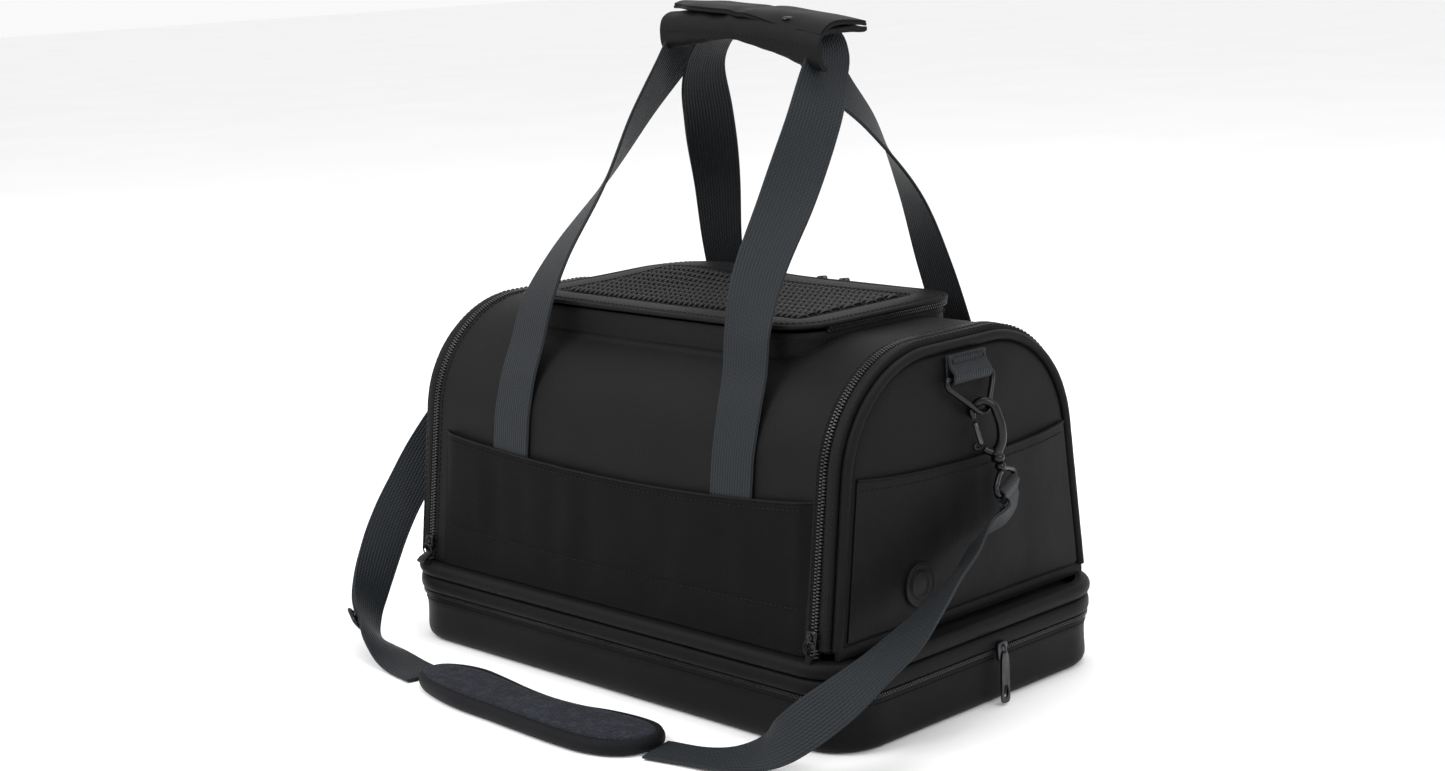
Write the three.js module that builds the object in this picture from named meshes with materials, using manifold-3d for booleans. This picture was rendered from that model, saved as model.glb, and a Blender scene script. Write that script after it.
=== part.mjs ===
// Soft-sided pet carrier bag with a zip-off base tray, two end doors that fold down,
// a mesh roof lid, two carrying handles joined by a wrap grip, and a clip-on shoulder strap.
// Millimetres, +Z up, origin at the middle of the underside, +X along the length, front at -Y.
import * as THREE from 'three';
import { mergeVertices } from 'three/addons/utils/BufferGeometryUtils.js';
import Module from 'manifold-3d';

const wasm = await Module();
wasm.setup();

// ---------------------------------------------------------------- driving dimensions
const LENGTH = 456;             // over the base band, an airline cabin size
const WIDTH = 280;
const HEIGHT = 251;             // top of the roof panels above the floor
const GAP = 0.3;                // air between pieces that touch

const BAND_OUT = 3;             // how far the base band stands out from the tray
const HALF_L = LENGTH / 2 - BAND_OUT;
const HALF_W = WIDTH / 2 - BAND_OUT;
const PLAN_R = 38;              // corner radius of the base, seen from above

const TRAY_WALL = 4;
const TRAY_TOP = 34.7;
const BOARD_T = 2;
const ZIP_T = 3.4;              // height of the closed base zip
const FLANGE_Z0 = TRAY_TOP + 2 * GAP + ZIP_T;
const FLANGE_H = 11;
const PIPING_H = 11;
const PIPING_Z0 = FLANGE_Z0 + FLANGE_H + GAP;
const WALL_Z0 = PIPING_Z0 + PIPING_H + GAP;

const PANEL_T = 4;              // foam-padded wall
const HALF_W_FOOT = 132;        // half width of the cabin at FOOT_Z
const HALF_W_ROOF = 108;        // half width of the cabin at HEIGHT, before rounding
const FOOT_Z = 66;
const SHOULDER_R = 86;          // rounding between wall and roof
const WALL_LEAN = (HALF_W_FOOT - HALF_W_ROOF) / (HEIGHT - FOOT_Z);
const wallY = (z) => HALF_W_FOOT - WALL_LEAN * (z - FOOT_Z);

const PANEL_X = 193;            // half length of the front and back panels
const ZIP_X0 = PANEL_X + GAP;   // door zip
const ZIP_X1 = 198.7;
const GUSSET_X0 = ZIP_X1 + GAP; // door edge band
const GUSSET_X1 = 207;
const DOOR_X = 214;             // outside of the doors
const DOOR_Z0 = 71;
const POCKET_TOP = 158;         // upper edge of the front pocket
const DOOR_POCKET_TOP = 172;    // upper edge of the pockets on the doors
const POCKET_T = 2;

const LID_HALF_L = 146;         // roof opening and lid
const LID_HALF_W = 80;
const LID_R = 28;
const LID_BORDER = 26;

const WEBBING_W = 38;           // handle webbing
const WEBBING_T = 2.2;
const HANDLE_SHIFT = 6;         // the handles sit a little to the right
const LEG_X = 112;              // half spacing of the legs where they are sewn on
const STRAP_W = 32;             // shoulder strap webbing
const STRAP_T = 1.8;
const WIRE_R = 1.9;             // ring and swivel eye wire

// ---------------------------------------------------------------- materials
const finish = (color, roughness, metalness = 0) =>
  new THREE.MeshStandardMaterial({ color, roughness, metalness });
const FABRIC = finish(0x2d2b2e, 0.85);
const LINING = finish(0x3a3a3d, 0.9);
const WEBBING = finish(0x343940, 0.75);
const ZIP = finish(0x1a1a1b, 0.5);
const METAL = finish(0x15161a, 0.25, 0.9);
const MESH = finish(0x242427, 0.8);
const PADDING = finish(0x22242c, 0.95);
const RUBBER = finish(0x1c1c1e, 0.6);

// ---------------------------------------------------------------- shape helpers
const part = new THREE.Group();

function add(parent, name, geometry, material) {
  const mesh = new THREE.Mesh(geometry, material);
  mesh.name = name;
  parent.add(mesh);
  return mesh;
}

const v3 = (x, y, z) => new THREE.Vector3(x, y, z);

// Closed body through a row of sections, each a loop of the same number of points.
// A closed row joins its last section to its first, and an open row gets flat ends.
function skin(sections, closed = false) {
  const n = sections[0].length;
  const rows = sections.length;
  const positions = sections.flat().flatMap((p) => [p.x, p.y, p.z]);
  const faces = [];
  for (let i = 0; i < (closed ? rows : rows - 1); i++) {
    const next = (i + 1) % rows;
    for (let j = 0; j < n; j++) {
      const k = (j + 1) % n;
      faces.push(i * n + j, i * n + k, next * n + k, i * n + j, next * n + k, next * n + j);
    }
  }
  if (!closed) {
    capFaces(sections[0]).forEach(([a, b, c]) => faces.push(a, c, b));
    const last = (rows - 1) * n;
    capFaces(sections[rows - 1]).forEach(([a, b, c]) => faces.push(last + a, last + b, last + c));
  }
  const geometry = new THREE.BufferGeometry();
  geometry.setAttribute('position', new THREE.Float32BufferAttribute(positions, 3));
  geometry.setIndex(faces);
  return outward(geometry);
}

// Triangles of a flat loop, found in the plane it lies in.
function capFaces(loop) {
  const normal = loop.reduce((sum, p, i) => {
    const q = loop[(i + 1) % loop.length];
    return sum.add(new THREE.Vector3().crossVectors(p, q));
  }, v3(0, 0, 0)).normalize();
  const across = Math.abs(normal.z) < 0.9 ? v3(0, 0, 1).cross(normal) : v3(1, 0, 0);
  across.addScaledVector(normal, -across.dot(normal)).normalize();
  const along = normal.clone().cross(across);
  const flat = loop.map((p) => new THREE.Vector2(p.dot(across), p.dot(along)));
  return THREE.ShapeUtils.triangulateShape(flat, []);
}

// Turns every face over if the body is inside out.
function outward(geometry) {
  const p = geometry.getAttribute('position');
  const index = geometry.getIndex().array;
  const [a, b, c] = [v3(0, 0, 0), v3(0, 0, 0), v3(0, 0, 0)];
  let volume = 0;
  for (let i = 0; i < index.length; i += 3) {
    a.fromBufferAttribute(p, index[i]);
    b.fromBufferAttribute(p, index[i + 1]);
    c.fromBufferAttribute(p, index[i + 2]);
    volume += a.dot(b.cross(c));
  }
  if (volume < 0) {
    for (let i = 0; i < index.length; i += 3) {
      [index[i + 1], index[i + 2]] = [index[i + 2], index[i + 1]];
    }
  }
  geometry.computeVertexNormals();
  return geometry;
}

// Rounded rectangle seen from above, as a loop of points at height z.
function planLoop(halfX, halfY, radius, z, cornerSteps = 5) {
  const loop = [];
  const corners = [[1, 1], [-1, 1], [-1, -1], [1, -1]];
  corners.forEach(([sx, sy], quarter) => {
    for (let i = 0; i <= cornerSteps; i++) {
      const angle = (quarter + i / cornerSteps) * Math.PI / 2;
      loop.push(v3(
        sx * (halfX - radius) + radius * Math.cos(angle),
        sy * (halfY - radius) + radius * Math.sin(angle), z));
    }
  });
  return loop;
}

// Base-shaped loop pulled in from the tray's outside by an inset.
const baseLoop = (inset, z) => planLoop(HALF_L - inset, HALF_W - inset, PLAN_R - inset, z);

// Lid-shaped loop grown out from the lid's outside.
const lidLoop = (grow, z) => planLoop(LID_HALF_L + grow, LID_HALF_W + grow, LID_R + grow, z);

// Cross-section of the cabin in the (y, z) plane, pulled in by an inset: from the foot of
// the front wall, over the roof, to the foot of the back wall. Each entry is [y, z].
function archOutline(inset, footZ, arcSteps = 7) {
  const normal = 1 / Math.hypot(1, WALL_LEAN);
  const centreZ = HEIGHT - SHOULDER_R;
  const centreY = wallY(centreZ) - SHOULDER_R / normal;
  const radius = SHOULDER_R - inset;
  const startAngle = Math.atan(WALL_LEAN);
  const half = [];
  half.push([wallY(footZ) - inset / normal, footZ]);
  for (let i = 0; i <= arcSteps; i++) {
    const angle = startAngle + (Math.PI / 2 - startAngle) * i / arcSteps;
    half.push([centreY + radius * Math.cos(angle), centreZ + radius * Math.sin(angle)]);
  }
  const front = half.map(([y, z]) => [-y, z]);
  return front.concat(half.reverse());
}

// Arched strip between two insets, as a section that runs along X from x0 to x1.
function archBand(outerInset, innerInset, footZ, x0, x1) {
  const outer = archOutline(outerInset, footZ);
  const inner = archOutline(innerInset, footZ).reverse();
  const outline = outer.concat(inner);
  return skin([x0, x1].map((x) => outline.map(([y, z]) => v3(x, y, z))));
}

// Bar with a square-cut section that follows an open or closed loop of points. At each
// point the section is spanned by the two directions given by frame(i).
function bar(points, frame, width, thickness, closed = false) {
  return skin(points.map((p, i) => {
    const { across, up } = frame(i);
    return [[-1, -1], [1, -1], [1, 1], [-1, 1]].map(([a, b]) =>
      p.clone().addScaledVector(across, a * width / 2).addScaledVector(up, b * thickness / 2));
  }), closed);
}

// Flat ribbon through route points [x, y, z, wx, wy, wz], w being roughly its width direction.
function ribbon(route, width, thickness, steps) {
  const spine = new THREE.CatmullRomCurve3(route.map((r) => v3(r[0], r[1], r[2])));
  const turns = new THREE.CatmullRomCurve3(route.map((r) => v3(r[3], r[4], r[5]).normalize()));
  const points = [];
  const frames = [];
  for (let i = 0; i <= steps; i++) {
    const t = i / steps;
    const tangent = spine.getTangent(t);
    const across = turns.getPoint(t);
    across.addScaledVector(tangent, -across.dot(tangent)).normalize();
    points.push(spine.getPoint(t));
    frames.push({ across, up: tangent.clone().cross(across) });
  }
  return bar(points, (i) => frames[i], width, thickness);
}

// Round wire along a curve.
function wire(curve, radius, steps, sides = 8) {
  const section = new THREE.Shape();
  section.absarc(0, 0, radius, 0, Math.PI * 2);
  return new THREE.ExtrudeGeometry(section, { extrudePath: curve, steps, curveSegments: sides });
}

// Round wire bent into a closed flat loop whose plane has the given normal.
function wireLoop(points, normal, radius, sides = 6) {
  const n = points.length;
  return skin(points.map((p, i) => {
    const tangent = points[(i + 1) % n].clone().sub(points[(i + n - 1) % n]).normalize();
    const outwards = tangent.clone().cross(normal).normalize();
    return Array.from({ length: sides }, (_, k) => {
      const angle = k / sides * Math.PI * 2;
      return p.clone().addScaledVector(outwards, radius * Math.cos(angle))
        .addScaledVector(normal, radius * Math.sin(angle));
    });
  }), true);
}

// Polygon with rounded corners, in the plane of u and v around a centre.
function roundedLoop(corners, radius, steps, centre, u, v) {
  const loop = [];
  corners.forEach((corner, i) => {
    const before = corners[(i + corners.length - 1) % corners.length];
    const after = corners[(i + 1) % corners.length];
    const p = new THREE.Vector2(...corner);
    const toBefore = new THREE.Vector2(...before).sub(p).normalize();
    const toAfter = new THREE.Vector2(...after).sub(p).normalize();
    const start = p.clone().addScaledVector(toBefore, radius);
    const end = p.clone().addScaledVector(toAfter, radius);
    const curve = new THREE.QuadraticBezierCurve(start, p, end);
    for (let k = 0; k <= steps; k++) {
      const q = curve.getPoint(k / steps);
      loop.push(centre.clone().addScaledVector(u, q.x).addScaledVector(v, q.y));
    }
  });
  return loop;
}

function box(sizeX, sizeY, sizeZ, x, y, z) {
  return new THREE.BoxGeometry(sizeX, sizeY, sizeZ).translate(x, y, z);
}

function toSolid(geometry) {
  const bare = geometry.clone();
  bare.deleteAttribute('normal');
  bare.deleteAttribute('uv');
  const merged = mergeVertices(bare, 1e-3);
  return new wasm.Manifold(new wasm.Mesh({
    numProp: 3,
    vertProperties: new Float32Array(merged.getAttribute('position').array),
    triVerts: new Uint32Array(merged.getIndex().array),
  }));
}

function fromSolid(solid) {
  const mesh = solid.getMesh();
  const geometry = new THREE.BufferGeometry();
  geometry.setAttribute('position', new THREE.BufferAttribute(mesh.vertProperties, 3));
  geometry.setIndex(new THREE.BufferAttribute(mesh.triVerts, 1));
  geometry.computeVertexNormals();
  return geometry;
}

const join = (...geometries) =>
  fromSolid(geometries.map(toSolid).reduce((sum, solid) => sum.add(solid)));

// ---------------------------------------------------------------- base tray
function baseTray() {
  const group = new THREE.Group();
  const shell = [
    baseLoop(8, 0), baseLoop(3, 2.5), baseLoop(0, 9), baseLoop(0, TRAY_TOP),
    baseLoop(TRAY_WALL, TRAY_TOP), baseLoop(TRAY_WALL, 10), baseLoop(TRAY_WALL + 5, TRAY_WALL),
  ];
  add(group, 'tray_shell', skin(shell), FABRIC);
  const boardZ = TRAY_WALL + GAP;
  add(group, 'tray_board', skin([baseLoop(11, boardZ), baseLoop(11, boardZ + BOARD_T)]), LINING);
  const z0 = TRAY_TOP + GAP;
  const coil = [
    baseLoop(-1.5, z0), baseLoop(-1.5, z0 + ZIP_T),
    baseLoop(TRAY_WALL, z0 + ZIP_T), baseLoop(TRAY_WALL, z0),
  ];
  add(group, 'base_zip_coil', skin(coil, true), ZIP);
  return group;
}

// Slider on the closed base zip at the right end, with its hanging pull.
function baseZipSlider() {
  const group = new THREE.Group();
  const x = HALF_L + BAND_OUT + GAP;
  const y = 13;
  const z = TRAY_TOP + GAP + ZIP_T / 2;
  add(group, 'base_zip_slider', box(3, 9, 12, x + 1.5, y, z), METAL);
  const pull = new THREE.Shape();
  pull.absarc(0, -32, 4.5, Math.PI, 2 * Math.PI);
  pull.lineTo(3.2, -1);
  pull.lineTo(-3.2, -1);
  const upright = new THREE.Matrix4().makeBasis(v3(0, 1, 0), v3(0, 0, 1), v3(1, 0, 0));
  const plate = { depth: 1.6, bevelEnabled: false, curveSegments: 6 };
  const tag = new THREE.ExtrudeGeometry(pull, plate);
  tag.applyMatrix4(upright).translate(x + 3 + GAP, y, z + 1);
  add(group, 'base_zip_pull', tag, METAL);
  return group;
}

// ---------------------------------------------------------------- cabin
function flangeAndFloor() {
  const group = new THREE.Group();
  const band = [
    baseLoop(-0.5, FLANGE_Z0),
    baseLoop(-BAND_OUT, FLANGE_Z0 + 2), baseLoop(-BAND_OUT, FLANGE_Z0 + FLANGE_H - 2),
    baseLoop(-1, FLANGE_Z0 + FLANGE_H), baseLoop(12, FLANGE_Z0 + FLANGE_H), baseLoop(12, FLANGE_Z0),
  ];
  add(group, 'base_flange', skin(band, true), FABRIC);
  const piping = [
    baseLoop(0, PIPING_Z0), baseLoop(-4, PIPING_Z0 + 3), baseLoop(-4, PIPING_Z0 + 8),
    baseLoop(0, PIPING_Z0 + PIPING_H), baseLoop(6, PIPING_Z0 + PIPING_H), baseLoop(6, PIPING_Z0),
  ];
  add(group, 'flange_piping', skin(piping, true), FABRIC);
  const floorZ = PIPING_Z0;
  add(group, 'cabin_floor', skin([baseLoop(6.5, floorZ), baseLoop(6.5, floorZ + 4)]), LINING);
  const matZ = floorZ + 4 + GAP;
  const mat = [
    planLoop(184, 112, 22, matZ), planLoop(188, 116, 26, matZ + 3),
    planLoop(188, 116, 26, matZ + 5), planLoop(184, 112, 22, matZ + 8),
  ];
  add(group, 'lying_mat', skin(mat), PADDING);
  return group;
}

// Front or back wall, which runs on over the shoulder to the roof opening.
function longWall(side) {
  const keep = ([y]) => y <= -(LID_HALF_W + GAP);
  const edgeY = -(LID_HALF_W + GAP);
  const outer = archOutline(0, WALL_Z0).filter(keep);
  const inner = archOutline(PANEL_T, WALL_Z0).filter(keep);
  outer.push([edgeY, archHeight(0, edgeY)]);
  inner.push([edgeY, archHeight(PANEL_T, edgeY)]);
  const outline = outer.concat(inner.reverse());
  const sections = [-PANEL_X, PANEL_X].map((x) => outline.map(([y, z]) => v3(x, -side * y, z)));
  return skin(sections);
}

// Height of the arch above a place y on its front half, for an inset.
function archHeight(inset, y) {
  const outline = archOutline(inset, WALL_Z0, 24);
  for (let i = 1; i < outline.length; i++) {
    const [y0, z0] = outline[i - 1];
    const [y1, z1] = outline[i];
    if (y0 <= y && y <= y1) return z0 + (z1 - z0) * (y - y0) / (y1 - y0);
  }
  return HEIGHT - inset;
}

// Roof between the opening and one end zip, a strip that follows the arch.
function roofPanel(side) {
  const keep = ([y]) => Math.abs(y) < LID_HALF_W;
  const strip = (inset) => {
    const z = archHeight(inset, -LID_HALF_W);
    return [[-LID_HALF_W, z], ...archOutline(inset, WALL_Z0).filter(keep), [LID_HALF_W, z]];
  };
  const outline = strip(0).concat(strip(PANEL_T).reverse());
  const xs = [side * (LID_HALF_L + GAP), side * PANEL_X];
  return skin(xs.map((x) => outline.map(([y, z]) => v3(x, y, z))));
}

function cabin() {
  const group = new THREE.Group();
  group.add(flangeAndFloor());
  add(group, 'front_panel', longWall(-1), FABRIC);
  add(group, 'back_panel', longWall(1), FABRIC);
  [[-1, 'left'], [1, 'right']].forEach(([side, label]) => {
    add(group, `roof_${label}_panel`, roofPanel(side), FABRIC);
    const zip = archBand(0, 3, WALL_Z0, side * ZIP_X0, side * ZIP_X1);
    add(group, `${label}_zip_coil`, zip, ZIP);
    const sill = box(4, 2 * (HALF_W_FOOT - 6), DOOR_Z0 - 1.5 - WALL_Z0,
      side * (DOOR_X - 4), 0, (DOOR_Z0 - 1.5 + WALL_Z0) / 2);
    add(group, `${label}_sill`, sill, FABRIC);
  });
  return group;
}

// Upright fabric rim around the roof opening and the zip on three of its sides.
function roofRim() {
  const group = new THREE.Group();
  const rim = [
    lidLoop(-GAP, HEIGHT - 17), lidLoop(-GAP, HEIGHT + 4.4),
    lidLoop(-4, HEIGHT + 4.4), lidLoop(-4, HEIGHT - 17),
  ];
  add(group, 'roof_collar', skin(rim, true), FABRIC);
  const loop = lidLoop(-2.2, HEIGHT + 6);
  const start = loop.findIndex((p) => p.x < 0 && p.y < 0);
  const threeSides = loop.slice(0, start).concat([v3(-LID_HALF_L + 2.2, -LID_HALF_W + 24, HEIGHT + 6)]);
  threeSides.unshift(v3(LID_HALF_L - 2.2, -LID_HALF_W + 24, HEIGHT + 6));
  const frame = (i) => {
    const before = threeSides[Math.max(i - 1, 0)];
    const after = threeSides[Math.min(i + 1, threeSides.length - 1)];
    const along = after.clone().sub(before).normalize();
    return { across: along.clone().cross(v3(0, 0, 1)), up: v3(0, 0, 1) };
  };
  add(group, 'roof_zip_coil', bar(threeSides, frame, 4, 2.4), ZIP);
  return group;
}

// Open pocket sewn on the front panel.
function frontPocket() {
  const innerFoot = -wallY(WALL_Z0) - GAP;
  const innerTop = -wallY(POCKET_TOP) - GAP;
  const outline = [
    [innerFoot, WALL_Z0], [innerTop, POCKET_TOP],
    [innerTop - POCKET_T, POCKET_TOP], [innerFoot - POCKET_T, WALL_Z0],
  ];
  const ends = [-182, 188];
  return skin(ends.map((x) => outline.map(([y, z]) => v3(x, y, z))));
}

// Sewn foot of one handle leg, flat against the wall above the pocket.
function handleFoot(side, x) {
  const wall = (z) => wallY(z) + GAP;
  const [z0, z1] = [159, 186];
  const outline = [
    [wall(z0), z0], [wall(z1), z1], [wall(z1) + WEBBING_T, z1], [wall(z0) + WEBBING_T, z0],
  ];
  return skin([x - WEBBING_W / 2, x + WEBBING_W / 2].map((px) =>
    outline.map(([y, z]) => v3(px, side * y, z))));
}

// ---------------------------------------------------------------- end doors
function door(side, label) {
  const group = new THREE.Group();
  const gusset = archBand(0, PANEL_T, DOOR_Z0, side * GUSSET_X0, side * GUSSET_X1);
  add(group, `${label}_door_gusset`, gusset, FABRIC);

  const pipingR = 3.4;
  const spine = archOutline(6, DOOR_Z0 + 0.4, 8).map(([y, z]) => v3(side * (DOOR_X - pipingR), y, z));
  const sections = spine.map((p, i) => {
    const before = spine[Math.max(i - 1, 0)];
    const after = spine[Math.min(i + 1, spine.length - 1)];
    const along = after.clone().sub(before).normalize();
    const across = along.clone().cross(v3(1, 0, 0));
    return Array.from({ length: 8 }, (_, k) => {
      const angle = (k + 0.5) / 8 * Math.PI * 2;
      return p.clone().addScaledVector(across, pipingR * Math.cos(angle))
        .addScaledVector(v3(1, 0, 0), pipingR * Math.sin(angle));
    });
  });
  add(group, `${label}_door_piping`, skin(sections), FABRIC);

  const face = archOutline(10.2, DOOR_Z0);
  const plate = [side * (DOOR_X - 5), side * (DOOR_X - 1)].map((x) =>
    face.map(([y, z]) => v3(x, y, z)));
  add(group, `${label}_door_panel`, skin(plate), FABRIC);

  const pocket = archOutline(12, DOOR_Z0 + 1).filter(([, z]) => z < DOOR_POCKET_TOP);
  const rim = archOutline(12, DOOR_POCKET_TOP, 1);
  const outline = [pocket[0], rim[0], rim[rim.length - 1], pocket[pocket.length - 1]];
  const sheet = [side * (DOOR_X - 1 + GAP), side * (DOOR_X + 1)].map((x) =>
    outline.map(([y, z]) => v3(x, y, z)));
  add(group, `${label}_door_pocket`, skin(sheet), FABRIC);
  return group;
}

// Plain round badge of two raised rings, pressed into one disc.
function badge() {
  const profile = [[0, 0], [15, 0], [15, 1.4], [13, 1.8], [11, 1], [9, 1], [7.5, 1.6], [6, 0.9], [0, 0.9]];
  const disc = new THREE.LatheGeometry(profile.map(([r, h]) => new THREE.Vector2(r, h)), 24);
  disc.rotateZ(-Math.PI / 2);
  const mesh = new THREE.Mesh(disc, RUBBER);
  mesh.name = 'right_badge';
  mesh.position.set(DOOR_X + 1 + GAP, -51, 95);
  return mesh;
}

// Folded webbing tab that holds the triangular ring: a strip looped round the ring's bar.
const RING_BAR_Z = 225;
const RING_BAR_X = DOOR_X + 4.2;
function ringTab(side) {
  const loopR = 3.3;
  const half = 0.8;
  const x0 = RING_BAR_X - loopR;
  const path = [v3(x0, 0, 239), v3(x0, 0, 232)];
  for (let i = 0; i <= 8; i++) {
    const angle = Math.PI + Math.PI * i / 8;
    path.push(v3(RING_BAR_X + loopR * Math.cos(angle), 0, RING_BAR_Z + loopR * Math.sin(angle)));
  }
  path.push(v3(RING_BAR_X + loopR, 0, 229), v3(x0 + 2 * half + GAP, 0, 234.5));
  path.push(v3(x0 + 2 * half + GAP, 0, 239));
  const frame = (i) => {
    const before = path[Math.max(i - 1, 0)];
    const after = path[Math.min(i + 1, path.length - 1)];
    const along = after.clone().sub(before).normalize();
    return { across: v3(0, 1, 0), up: v3(0, 1, 0).cross(along) };
  };
  const tab = bar(path, frame, WEBBING_W, 2 * half);
  return side > 0 ? tab : outward(tab.scale(-1, 1, 1));
}

// Ring, snap hook, gate and swivel eye, which hang from the tab as one chain.
// apex is where the hook bears on the ring; down and across set how the hook hangs.
function chain(label, side, apex, down, across, eyeAcross) {
  const group = new THREE.Group();
  const bar = v3(side * RING_BAR_X, 0, RING_BAR_Z);
  const drop = apex.clone().sub(bar);
  const along = v3(0, 1, 0);
  const v = drop.clone().addScaledVector(along, -drop.y).normalize();
  const depth = drop.dot(v);
  const corners = [
    [-23, 0], [23, 0], [23, 5.5], [drop.y + 4, depth + 1.5], [drop.y - 4, depth + 1.5], [-23, 5.5],
  ];
  const normal = along.clone().cross(v);
  const ring = roundedLoop(corners, 2.4, 2, bar, along, v);
  add(group, `${label}_ring`, wireLoop(ring, normal, WIRE_R), METAL);

  const d = down.clone().normalize();
  const u = across.clone().addScaledVector(d, -across.dot(d)).normalize();
  const n = d.clone().negate().cross(u);
  const place = new THREE.Matrix4().makeBasis(u, n, d.clone().negate()).setPosition(apex);

  const bail = new THREE.CatmullRomCurve3([
    [-8, -4], [-7.4, 2], [0, 5.6], [7.2, 1.5], [9, -7], [8.4, -17], [4.5, -25.5], [0, -30],
  ].map(([x, z]) => v3(x, 0, z)));
  const foot = new THREE.LineCurve3(v3(-6.6, 0, -26.3), v3(0, 0, -30));
  const collar = new THREE.CylinderGeometry(4, 4.4, 8, 12).rotateX(Math.PI / 2).translate(0, 0, -33);
  const hook = join(wire(bail, 2.4, 20), wire(foot, 2.2, 1), collar);
  add(group, `${label}_hook`, hook.applyMatrix4(place), METAL);

  const gate = new THREE.CylinderGeometry(1.6, 1.9, 15.5, 8).rotateX(Math.PI / 2);
  gate.translate(-7.8, 0, -15);
  add(group, `${label}_hook_gate`, gate.applyMatrix4(place), METAL);

  const e = eyeAcross.clone().addScaledVector(d, -eyeAcross.dot(d)).normalize();
  const eyeNormal = d.clone().negate().cross(e);
  const turn = new THREE.Matrix4().makeBasis(e, eyeNormal, d.clone().negate()).setPosition(apex);
  const loop = roundedLoop([[-18.5, -55], [18.5, -55], [18.5, -49], [6, -43.5], [-6, -43.5], [-18.5, -49]],
    2.6, 2, v3(0, 0, 0), v3(1, 0, 0), v3(0, 0, 1));
  const stem = new THREE.CylinderGeometry(3.2, 3.2, 6.5, 10).rotateX(Math.PI / 2).translate(0, 0, -40.7);
  const eye = join(wireLoop(loop, v3(0, 1, 0), WIRE_R), stem);
  add(group, `${label}_swivel_eye`, eye.applyMatrix4(turn), METAL);
  return group;
}

// Slider on a door zip with its ring or tab, standing out at the foot of the front edge.
function doorZipSlider(side, label) {
  const group = new THREE.Group();
  const x = side * (ZIP_X0 + ZIP_X1) / 2;
  const z = WALL_Z0 + 13;
  const y = -wallY(z) - 1.2;
  const slider = join(box(8, 3, 12, x, y - 1.7, z), box(5, 3, 17, x, y - 4.4, z - 2));
  add(group, `${label}_zip_slider`, slider, METAL);
  return group;
}

// ---------------------------------------------------------------- roof lid
function roofLid() {
  const group = new THREE.Group();
  const z0 = HEIGHT + 7.5;
  const inner = (grow, z) => planLoop(
    LID_HALF_L - LID_BORDER + grow, LID_HALF_W - LID_BORDER + grow, 14 + grow, z);
  const border = [
    lidLoop(-1, z0), lidLoop(0, z0 + 1.5), lidLoop(-1, z0 + 3), inner(0, z0 + 3), inner(0, z0),
  ];
  add(group, 'lid_frame', skin(border, true), FABRIC);
  add(group, 'lid_mesh', skin([inner(-GAP, z0 + 0.6), inner(-GAP, z0 + 2.6)]), MESH);
  const piping = [
    lidLoop(0.6, z0 - 0.6), lidLoop(3.4, z0 - 0.6), lidLoop(4.2, z0 + 1.5),
    lidLoop(3.4, z0 + 3.6), lidLoop(0.6, z0 + 3.6),
  ];
  add(group, 'lid_piping', skin(piping, true), FABRIC);
  return group;
}

// Slider on the roof zip at the back edge with its pull hanging behind.
function roofZipSlider(letter, x) {
  const group = new THREE.Group();
  const y = LID_HALF_W + 4.2 + GAP;
  const z = HEIGHT + 8;
  add(group, `roof_zip_slider_${letter}`, box(9, 3, 7, x, y + 1.5, z), METAL);
  add(group, `roof_zip_pull_${letter}`, box(5, 1.4, 15, x, y + 3 + GAP + 0.7, z - 6.5), METAL);
  return group;
}

// ---------------------------------------------------------------- handles and grip
const GRIP_Y = 36;
const GRIP_Z = 441;

// Webbing loop of one handle: up one leg, through the grip and down the other leg, turning
// a quarter turn on the way so that it lies flat in the grip.
function handleWebbing(turn, legs, topZ) {
  const leg = legs.map(([x, y, z, twist]) => {
    const angle = twist * Math.PI / 2;
    return { x, y, z, wx: Math.cos(angle), wy: Math.sin(angle) };
  });
  const rising = leg.map((p) => [HANDLE_SHIFT - p.x, p.y, p.z, p.wx, turn * p.wy, 0]);
  const falling = leg.map((p) => [HANDLE_SHIFT + p.x, p.y, p.z, -p.wx, turn * p.wy, 0]).reverse();
  const across = [-40, 0, 40].map((x) => [HANDLE_SHIFT + x, GRIP_Y, topZ, 0, turn, 0]);
  return ribbon([...rising, ...across, ...falling], WEBBING_W, WEBBING_T, 72);
}

function gripWrap() {
  const length = 144;
  const [y0, y1] = [GRIP_Y - 27, GRIP_Y + 22];
  const outline = [
    [y1, 17], [y1, 14], [y0 + 3, 14], [y0 + 3, -9], [y0 + 8, -9], [y0 + 8, -12],
    [y0 + 3, -12], [y0, -9], [y0, 13], [y0 + 4, 17],
  ];
  const wrap = skin([-length / 2, length / 2].map((x) =>
    outline.map(([y, z]) => v3(x + HANDLE_SHIFT, y, GRIP_Z + z))));
  const flap = box(length + 4, y1 - y0 - 4, 2.5, HANDLE_SHIFT, (y0 + 4 + y1) / 2, GRIP_Z + 18.7);
  return { wrap, flap };
}

// ---------------------------------------------------------------- shoulder strap
// Route points [x, y, z] with the direction of the strap's width at each.
const STRAP_RIGHT = [
  [232.7, 20.4, 143.9, 0.34, -0.92, -0.12], [233.4, 21, 139, 0.36, -0.92, -0.1],
  [234.4, 15, 131.5, 0.5, -0.75, 0.35],
  [234, -8, 124, 0.72, -0.25, 0.64], [238, -30, 109.5, 0.77, -0.13, 0.62], [242, -56, 99, 0.84, -0.07, 0.53],
  [246, -80, 88.5, 0.94, -0.05, 0.34], [248, -109, 75, 1, 0.02, 0.01], [247, -133, 65.5, 0.98, -0.08, -0.17],
  [240, -155, 52, 0.87, -0.07, -0.49], [229, -171, 39.5, 0.73, -0.11, -0.67], [213, -179, 26, 0.59, -0.34, -0.73],
  [192, -182, 13.5, 0.34, -0.82, -0.45], [167, -185, 5.5, 0.2, -0.98, -0.15], [142, -189, 2, 0.07, -1, 0],
  [113.5, -196, 1.6, 0.05, -1, 0],
];
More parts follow.
